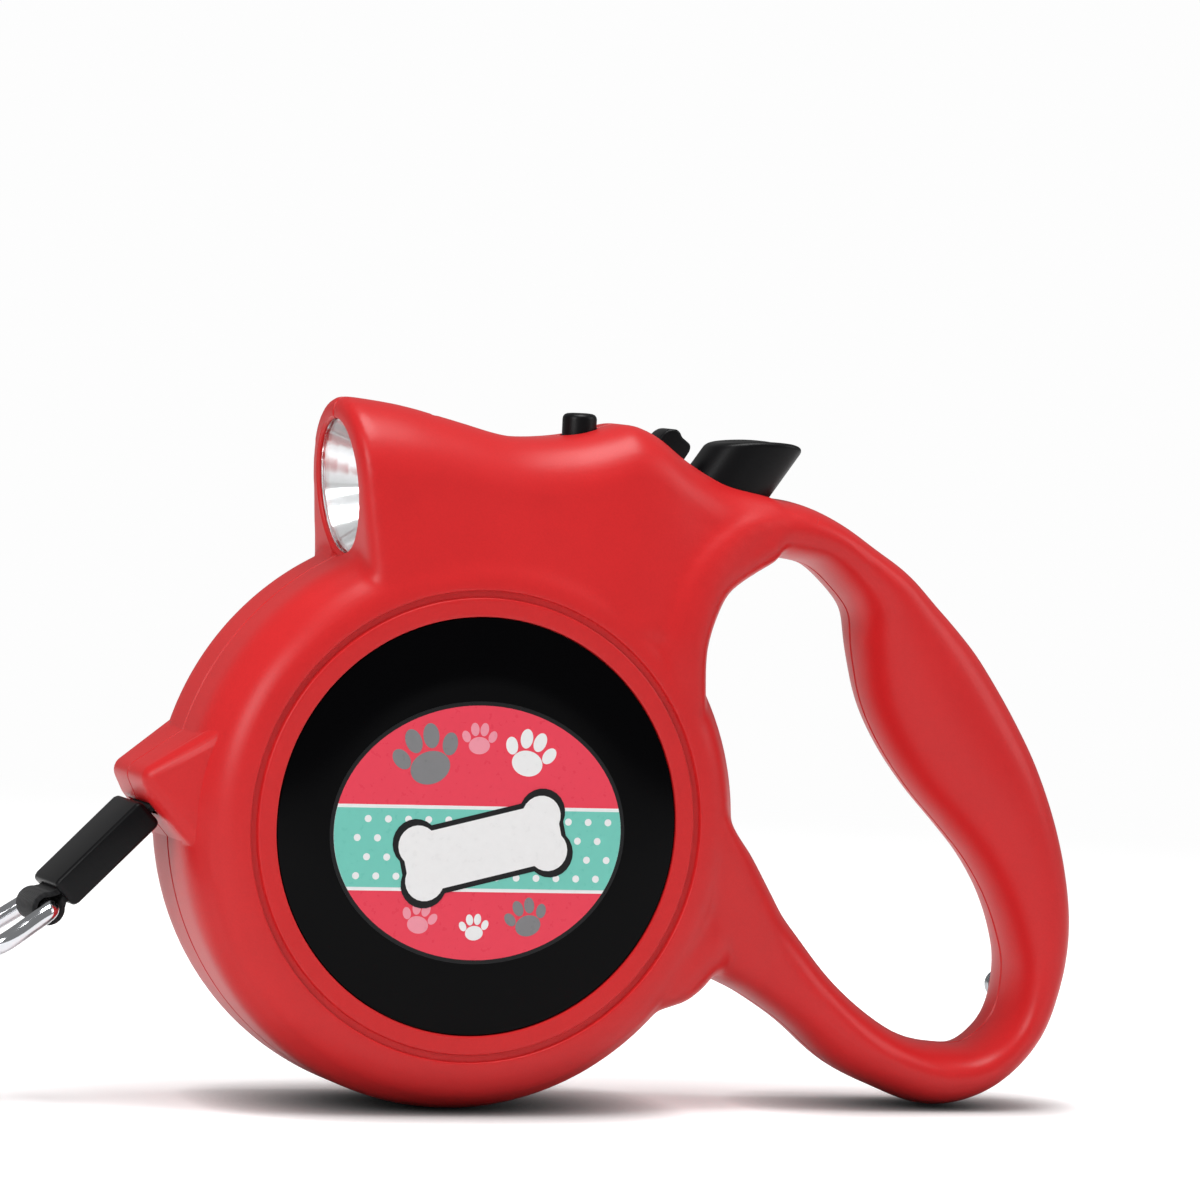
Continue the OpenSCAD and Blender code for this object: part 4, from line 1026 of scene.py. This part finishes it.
class LEASH_OT_badges(bpy.types.Operator):
    """Make the glossy discs on the drum's two faces, with their print."""

    bl_idname = "leash.badges"
    bl_label = "Badges"

    def execute(self, context):
        for side, node_name in ((-1, "left_badge"), (1, "right_badge")):
            face = CASE_HALF - BADGE_RECESS
            rows = [[BADGE_R, face - BADGE_T], [BADGE_R, face - 0.45], [BADGE_R - 0.13, face - 0.13],
                    [BADGE_R - 0.45, face], [24, face], [12, face], [4, face], [0.5, face]]
            place = ON_DRUM if side < 0 else ON_DRUM @ Matrix.Rotation(math.pi, 4, "X")
            disc = finish_piece(turned(f"{node_name}_disc", rows, place, 160), "case",
                                materials["badge_black"], [node_name], 40)
            pieces[f"{node_name}_disc"] = disc
            if side < 0:
                spot, _ = on_surface(surface_tree(disc), "print_centre")
                centre = (spot.x / MM, spot.z / MM - AXIS_Z)
            for layer, ink in badge_print(side, centre):
                finish_piece(layer, "case", materials[ink])
                pieces[layer.name] = layer
        return {"FINISHED"}


# ---------- buttons ----------


class LEASH_OT_buttons(bpy.types.Operator):
    """Make the thumb brake, its lock and the lamp's switch."""

    bl_idname = "leash.buttons"
    bl_label = "Buttons"

    def execute(self, context):
        brake = loft("brake", self.brake_rings())
        combine(brake, turned("brake hollow", [[4.7, -9], [4.7, -4]],
                              ON_BRAKE @ Matrix.Translation((PLUNGER_X * MM, 0, 0)), 40))
        combine(brake, block("plunger seat", (-2.75, -1.55, -7), (0.35, 1.55, -0.95), ON_BRAKE))
        pieces["brake"] = finish_piece(brake, "brake", materials["black_plastic"], ["brake_button"], 30)
        crown = smooth_rows([[2.6, 0.9], [2.4, 1.6], [1.9, 2.1], [0.9, 2.25], [0.1, 2.35], [-0.6, 2.75],
                             [-1.2, 2.9], [-1.8, 2.75], [-2.7, 2.1], [-3.2, 1.2], [-3.4, 0.4]], 3)
        outline = [(-3.4, -8), (2.4, -8)] + [tuple(p) for p in crown]
        lock = cut_out("lock", outline, 2 * LOCK_HALF_W, ON_LOCK, 0.5, 4, 50)
        tail = cut_out("tail", [(-2.5, -7), (1.2, -7), (1, -12.1), (3, -13.3), (2.3, -15.1), (-0.8, -15.1)],
                       4.4, ON_LOCK)
        combine(lock, tail, "UNION")
        along_y = ON_LOCK @ Matrix.Translation((0, 0, -LOCK_PIVOT_DEPTH * MM)) @ Matrix.Rotation(
            math.radians(90), 4, "X")
        combine(lock, turned("pivot", [[1.05, -6], [1.05, 6]], along_y, 32))
        foot = ON_BRAKE @ Matrix.Translation(Vector(BRAKE_SPRING_FOOT) * MM)
        coil = spring("brake_coil", foot, 3.8, 0.7, 4, BRAKE_SPRING, "case")
        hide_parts("brake_spring")
        pieces["lock"] = finish_piece(lock, "lock", materials["black_plastic"], ["brake_lock"], 30)
        base = switch_low[2] / MM
        rows = [[SWITCH_R + 1, base], [SWITCH_R + 1, base + 1], [SWITCH_R, base + 1.05],
                [SWITCH_R, SWITCH_TOP - 1], [SWITCH_R - 0.1, SWITCH_TOP - 0.6],
                [SWITCH_R - 0.35, SWITCH_TOP - 0.28], [SWITCH_R - 0.8, SWITCH_TOP - 0.08],
                [SWITCH_R - 1.6, SWITCH_TOP], [0.6, SWITCH_TOP - 0.12]]
        cap = turned("switch_cap", rows, Matrix.Translation((SWITCH_X * MM, 0, 0)), 64)
        pieces["switch_cap"] = finish_piece(cap, "lamp_button", materials["black_plastic"],
                                            ["lamp_switch_cap"], 40)
        return {"FINISHED"}

    def brake_rings(self):
        """The thumb brake's rings, from its skirt up its side, over its soft edge and in over its dish."""
        rows = smooth_rows(BUTTON_TOP, 6)

        def top(x):
            for (x0, z0), (x1, z1) in zip(rows, rows[1:]):
                if x <= x1:
                    return z0 + (z1 - z0) * (x - x0) / (x1 - x0)
            return rows[-1][1]

        round_r, dish = 0.9, 0.7
        rings = [button_ring(0, lambda x: -7.6), button_ring(0, lambda x: -2.0)]
        rings.append(button_ring(0, lambda x: top(x) - round_r - 0.4))
        for a in range(0, 91, 15):
            inset = round_r * (1 - math.cos(math.radians(a)))
            drop = round_r * (1 - math.sin(math.radians(a)))
            rings.append(button_ring(inset, lambda x: top(x) - drop))
        rim = rings[-1]
        for part in (0.78, 0.6, 0.4, 0.2, 0.03):
            inner = []
            for edge in rim:
                at = ON_BRAKE.inverted() @ edge / MM
                x, y = at.x * part, at.y * part
                inner.append(ON_BRAKE @ (Vector((x, y, top(x) - dish * (1 - part ** 2))) * MM))
            rings.append(inner)
        return rings


# ---------- tape, stop and hook ----------


class LEASH_OT_tape_end(bpy.types.Operator):
    """Make the tape's stop, the strip that runs out of the case, and the loop round the hook's eye."""

    bl_idname = "leash.tape_end"
    bl_label = "Tape end"

    def execute(self, context):
        rows = [[6.9, 2.0, 0.0], [7.3, 2.5, 0.3], [7.5, 2.75, 1.0], [7.5, 2.75, 10],
                [7.5, 2.75, STOPPER_LEN - 1.2], [7.35, 2.6, STOPPER_LEN - 0.4], [7.0, 2.2, STOPPER_LEN]]
        rings = []
        place = on_tape(STOPPER_START)
        for half_w, half_t, along in rows:
            ring = []
            for y, x in ((1, -0.85), (1, 0.85), (0.93, 1), (-0.93, 1), (-1, 0.85), (-1, -0.85), (-0.93, -1),
                         (0.93, -1)):
                ring.append(place @ (Vector((half_t * x + 0.15, half_w * y, along)) * MM))
            rings.append(ring)
        stop = round_edges(loft("stop", rings), 0.35, 3, 20)
        combine(stop, block("tape way", (-0.55, -6.05, -1), (0.55, 6.05, STOPPER_LEN - 3), place))
        combine(stop, block("loop way", (-1.5, -6.05, STOPPER_LEN - 5), (1.5, 6.05, STOPPER_LEN + 5), place))
        pieces["stop"] = finish_piece(stop, "tape_end", materials["black_plastic"], ["tape_stopper"], 30)
        strip = block("strip", (-0.5, -TAPE_W / 2, 0), (0.5, TAPE_W / 2, STOPPER_START + 1), on_tape(0), 0.2)
        pick(strip)
        strip.data.materials.append(materials["webbing"])
        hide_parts("tape_run")
        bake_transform(strip)
        pieces["strip"] = strip
        pieces["tape_fold"] = self.fold()
        return {"FINISHED"}

    def fold(self):
        """The tape folded round the eye's bar, ribbed across its width."""
        inside, ply, neck, end = 1.95, 0.95, 3.0, 7.5
        half = 0.4 + ply
        place = on_tape(LOOP_AT)
        line = [(-(half - ply / 2), -end), (-(half - ply / 2), -(end + neck) / 2), (-(half - ply / 2), -neck)]
        r = inside + ply / 2
        line += [(r * math.cos(math.radians(a)), r * math.sin(math.radians(a))) for a in range(230, -51, -10)]
        line += [(half - ply / 2, -neck), (half - ply / 2, -(end + neck) / 2), (half - ply / 2, -end)]
        outer, inner = [], []
        for i, (x, z) in enumerate(line):
            a, b = line[max(i - 1, 0)], line[min(i + 1, len(line) - 1)]
            ahead = Vector((b[0] - a[0], b[1] - a[1])).normalized()
            outer.append((x - ahead.y * ply / 2, z + ahead.x * ply / 2))
            inner.append((x + ahead.y * ply / 2, z - ahead.x * ply / 2))
        fold = cut_out("tape_fold", outer + inner[::-1], TAPE_W - 1, place, 0.2)
        return finish_piece(fold, "tape_end", materials["webbing"], ["tape_loop"], 30)


class LEASH_OT_hook(bpy.types.Operator):
    """Make the chromed eye and the spring of the hook's bolt."""

    bl_idname = "leash.hook"
    bl_label = "Hook"

    def execute(self, context):
        corners = [[0, -2.4, 15.3], [0, -5.2, 13.4], [0, -8.2, 11], [0, -8.9, 8.6], [0, -8.3, 4.6],
                   [0, -7.75, 1.4], [0, -6.9, 0.25], [0, -5.6, 0], [0, 0, 0]]
        path = corners + [[x, -y, z] for x, y, z in corners[-2::-1]]
        fine = smooth_rows(path, 5)
        eye = tube("eye", [ON_HOOK @ (Vector(p) * MM) / MM for p in fine], 1.6, 28)
        boss = turned("eye boss", [[3.4, 12.9], [3.9, 13.3], [4.0, 14], [4.0, 16], [3.9, 16.7], [3.4, 17]],
                      ON_HOOK, 48)
        combine(eye, boss, "UNION")
        combine(eye, turned("post hole", [[1.65, 10], [1.65, 22]], ON_HOOK, 32))
        pieces["eye"] = finish_piece(eye, "hook_eye", materials["chrome"], ["hook_eye"], 40)
        foot = ON_HOOK @ Matrix.Translation(Vector(BOLT_SPRING_FOOT) * MM)
        coil = spring("bolt_coil", foot, 1.5, 0.4, 5, BOLT_SPRING, "hook")
        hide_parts("hook_spring")
        return {"FINISHED"}


# ---------- the solids that stay as they are ----------

NODE_FINISH = {
    "case_screws": "steel", "axle": "steel", "spool": "pale_plastic", "spool_flange": "pale_plastic",
    "spring_cover": "pale_plastic", "power_spring": "spring_steel", "tape_coil": "webbing",
    "brake_plunger": "pale_plastic", "lock_pin": "steel",
    "lamp_lens": "lens", "lamp_reflector": "reflector", "lamp_led": "led", "led_board": "board",
    "lamp_switch": "black_plastic", "button_cells": "steel", "battery_holder": "black_plastic",
    "battery_contacts": "brass", "battery_door": "red_plastic", "battery_door_screw": "steel",
    "lamp_wires": "wire", "hook_body": "chrome", "hook_bolt": "chrome",
}


class LEASH_OT_finishes(bpy.types.Operator):
    """Give every solid that shows as it is its own finish."""

    bl_idname = "leash.finishes"
    bl_label = "Finishes"

    def execute(self, context):
        for name, finish in NODE_FINISH.items():
            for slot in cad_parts[name].material_slots:
                slot.material = materials[finish]
        return {"FINISHED"}


# ---------- stage ----------

BACKGROUND = 0.983
FLOOR_COLOUR = (0.86, 0.86, 0.86, 1)
FLOOR_LIFT = 0.4
FLOOR_MIRRORED = 0.4
# Where the floor turns into the background, in metres from the middle
FADE_NEAR = 0.3
FADE_FAR = 0.7
SKY_LIGHT = 0.26
SKY_MIRRORED = 0.24
LAMPS_AIM = (0.02, 0, 0.07)
# Lamps: [name, place, size in metres, watts]
LAMPS = [["left", (-1.2, -0.75, 0.75), 0.7, 10], ["right", (1.25, -0.45, 0.7), 0.8, 4],
         ["top", (0.05, -0.15, 1.45), 0.8, 16]]


def white_ground(name, colour, lift):
    """A pale matt ground that keeps the lamps' shadows on it, darkened further by painted shade near the
    things on it, and turns into the white background around it.
    """
    material, tree, shader = new_material(name)
    tree.nodes.remove(shader)
    # Painted shade: occlusion by nearby things turns the ground's colour towards near black and dims its
    # glow.
    painted_shade_ao = node(tree, "ShaderNodeAmbientOcclusion", {"Distance": 0.017}, samples=8)
    painted_shade = node(tree, "ShaderNodeMath", {0: painted_shade_ao.outputs["AO"], 1: 1.4}, operation="POWER")
    light = node(tree, "ShaderNodeMath", {0: painted_shade.outputs["Value"], 1: lift}, operation="MULTIPLY")
    tint = node(tree, "ShaderNodeMix", {"Factor": painted_shade.outputs["Value"], "A": (0.02, 0.02, 0.02, 1),
                                        "B": colour}, data_type="RGBA")
    matt = node(tree, "ShaderNodeBsdfDiffuse", {"Color": tint.outputs["Result"]})
    glow = node(tree, "ShaderNodeEmission", {"Color": (1, 1, 1, 1), "Strength": light.outputs["Value"]})
    both = node(tree, "ShaderNodeAddShader", {0: matt.outputs["BSDF"], 1: glow.outputs["Emission"]})
    white = node(tree, "ShaderNodeEmission", {"Color": (1, 1, 1, 1), "Strength": BACKGROUND})
    at = node(tree, "ShaderNodeTexCoord").outputs["Object"]
    away = node(tree, "ShaderNodeVectorMath", {0: at}, operation="LENGTH")
    fade = node(tree, "ShaderNodeMapRange", {"Value": away.outputs["Value"], "From Min": FADE_NEAR,
                                             "From Max": FADE_FAR}, interpolation_type="SMOOTHSTEP")
    ground = node(tree, "ShaderNodeMixShader", {0: fade.outputs["Result"], 1: both.outputs["Shader"],
                                                2: white.outputs["Emission"]})
    seen = seen_directly(tree, FLOOR_MIRRORED)
    pick_one = node(tree, "ShaderNodeMixShader", {0: seen, 1: matt.outputs["BSDF"],
                                                  2: ground.outputs["Shader"]})
    tree.links.new(pick_one.outputs["Shader"], tree.nodes["Material Output"].inputs["Surface"])
    return material


def seen_directly(tree, mirrored):
    """1 for what the camera sees, itself or through glass, and a part of it for what metal mirrors."""
    path = node(tree, "ShaderNodeLightPath")
    first = node(tree, "ShaderNodeMath", {0: path.outputs["Is Camera Ray"],
                                          1: path.outputs["Is Transmission Ray"]}, operation="MAXIMUM")
    part = node(tree, "ShaderNodeMath", {0: path.outputs["Is Glossy Ray"], 1: mirrored}, operation="MULTIPLY")
    return node(tree, "ShaderNodeMath", {0: first.outputs["Value"], 1: part.outputs["Value"]},
                operation="MAXIMUM").outputs["Value"]


def soft_box(name, place, target, size, watts):
    """A square lamp that faces a target."""
    lamp = bpy.data.lights.new(name, "AREA")
    lamp.energy = watts
    lamp.size = size
    made = bpy.data.objects.new(name, lamp)
    made.location = place
    made.rotation_euler = (Vector(target) - Vector(place)).to_track_quat("-Z", "Y").to_euler()
    bpy.context.collection.objects.link(made)
    return made


class LEASH_OT_stage(bpy.types.Operator):
    """Set the floor, the lamps and the camera."""

    bl_idname = "leash.stage"
    bl_label = "Stage"

    def execute(self, context):
        deselect()
        bpy.ops.mesh.primitive_plane_add(size=12, location=(0, 0, -0.0002))
        floor = named("floor")
        floor.data.materials.append(white_ground("white ground", FLOOR_COLOUR, FLOOR_LIFT))
        world = bpy.data.worlds.new("studio")
        context.scene.world = world
        world.use_nodes = True
        tree = world.node_tree
        tree.nodes.clear()
        path = node(tree, "ShaderNodeLightPath")
        clear = node(tree, "ShaderNodeMath", {0: path.outputs["Is Camera Ray"],
                                              1: path.outputs["Is Transmission Ray"]}, operation="MAXIMUM")
        gloss = node(tree, "ShaderNodeMapRange", {"Value": path.outputs["Is Glossy Ray"], "To Min": SKY_LIGHT,
                                                  "To Max": SKY_MIRRORED})
        amount = node(tree, "ShaderNodeMapRange", {"Value": clear.outputs["Value"],
                                                   "To Min": gloss.outputs["Result"], "To Max": BACKGROUND})
        sky = node(tree, "ShaderNodeBackground", {"Color": (1, 1, 1, 1),
                                                  "Strength": amount.outputs["Result"]})
        out = node(tree, "ShaderNodeOutputWorld")
        tree.links.new(sky.outputs["Background"], out.inputs["Surface"])
        for name, place, size, watts in LAMPS:
            soft_box(name, place, LAMPS_AIM, size, watts)
        camera = bpy.data.cameras.new("camera")
        camera.sensor_fit = "AUTO"
        camera.sensor_width = SENSOR
        camera.lens = LENS
        camera.clip_start = 0.05
        right, up, back = camera_axes()
        made = bpy.data.objects.new("camera", camera)
        turn = Matrix((right, up, back)).transposed().to_4x4()
        made.matrix_world = Matrix.Translation(camera_place()) @ turn
        context.collection.objects.link(made)
        context.scene.camera = made
        context.scene.view_settings.view_transform = "Standard"
        return {"FINISHED"}


class LEASH_PT_panel(bpy.types.Panel):
    """The leash's sizes, colours and steps."""

    bl_label = "Leash"
    bl_idname = "LEASH_PT_panel"
    bl_space_type = "VIEW_3D"
    bl_region_type = "UI"
    bl_category = "Leash"

    def draw(self, context):
        for group in (context.scene.leash_sizes, context.scene.leash_colours):
            for name in group.bl_rna.properties.keys():
                if name not in ("rna_type", "name"):
                    self.layout.prop(group, name)
        for step in STEPS:
            self.layout.operator(step.bl_idname)


STEPS = [LEASH_OT_stage, LEASH_OT_case, LEASH_OT_badges, LEASH_OT_buttons, LEASH_OT_tape_end, LEASH_OT_hook,
         LEASH_OT_finishes]
GROUPS = [LeashSizes, LeashColours]


def register():
    """Adds the groups, steps and panel."""
    for kind in GROUPS + STEPS + [LEASH_PT_panel]:
        bpy.utils.register_class(kind)
    bpy.types.Scene.leash_sizes = bpy.props.PointerProperty(type=LeashSizes)
    bpy.types.Scene.leash_colours = bpy.props.PointerProperty(type=LeashColours)


def unregister():
    """Takes them away again."""
    del bpy.types.Scene.leash_colours
    del bpy.types.Scene.leash_sizes
    for kind in reversed(GROUPS + STEPS + [LEASH_PT_panel]):
        bpy.utils.unregister_class(kind)


# ---------- where each thing shows, near its image point -----------


def seen_points(*names):
    """Where every vertex of some pieces shows."""
    return [shown_at(v.co) for name in names for v in pieces[name].data.vertices]


def hole_edge(spots, name):
    """Where the hand hole's edge shows, straight above or below its middle."""
    x, y = POINTS[name]
    way = 1 if name == "hole_bottom" else -1
    column = [way * p.y for p in spots if abs(p.x - x) < 2.5]
    return Vector((x, way * min(value for value in column if value > way * y - 60)))


def write_points():
    """Finds where each thing shows near its point, in the photograph's pixels."""
    shells = seen_points("left_shell", "right_shell")

    def edge(spots, way, keep=lambda p: True):
        return max((p for p in spots if keep(p)), key=way)

    found = {
        "right": edge(shells, lambda p: p.x),
        "bottom": edge(shells, lambda p: p.y, lambda p: p.x > 800),
        "lamp_top": edge(shells, lambda p: -p.y, lambda p: p.x < 420),
        "lamp_left": edge(shells, lambda p: -p.x, lambda p: 480 < p.y < 520),
        "switch_left": edge(seen_points("switch_cap"), lambda p: -p.x, lambda p: p.y < 432),
        "brake_top": edge(seen_points("brake"), lambda p: p.x - p.y),
        "lock_left": edge(seen_points("lock"), lambda p: -p.x, lambda p: p.y < 440),
        "nozzle_tip": edge(shells, lambda p: -p.x, lambda p: p.y > 700),
        "print_centre": shown_at(sum((v.co for v in pieces["left_print_line"].data.vertices), Vector())
                                 / len(pieces["left_print_line"].data.vertices)),
    }
    edges = [p for p in shells if 700 < p.x < 1000 and 540 < p.y < 1060]
    for name, place in marks.items():
        found[name] = shown_at(place)
    for name in ("hole_top", "hole_bottom"):
        found[name] = hole_edge(edges, name)


def main():
    """Makes every piece in turn."""
    register()
    make_materials(bpy.context.scene.leash_colours)
    for step in STEPS:
        group, action = step.bl_idname.split(".")
        getattr(getattr(bpy.ops, group), action)()
    write_points()


if __name__ == "__main__":
    main()
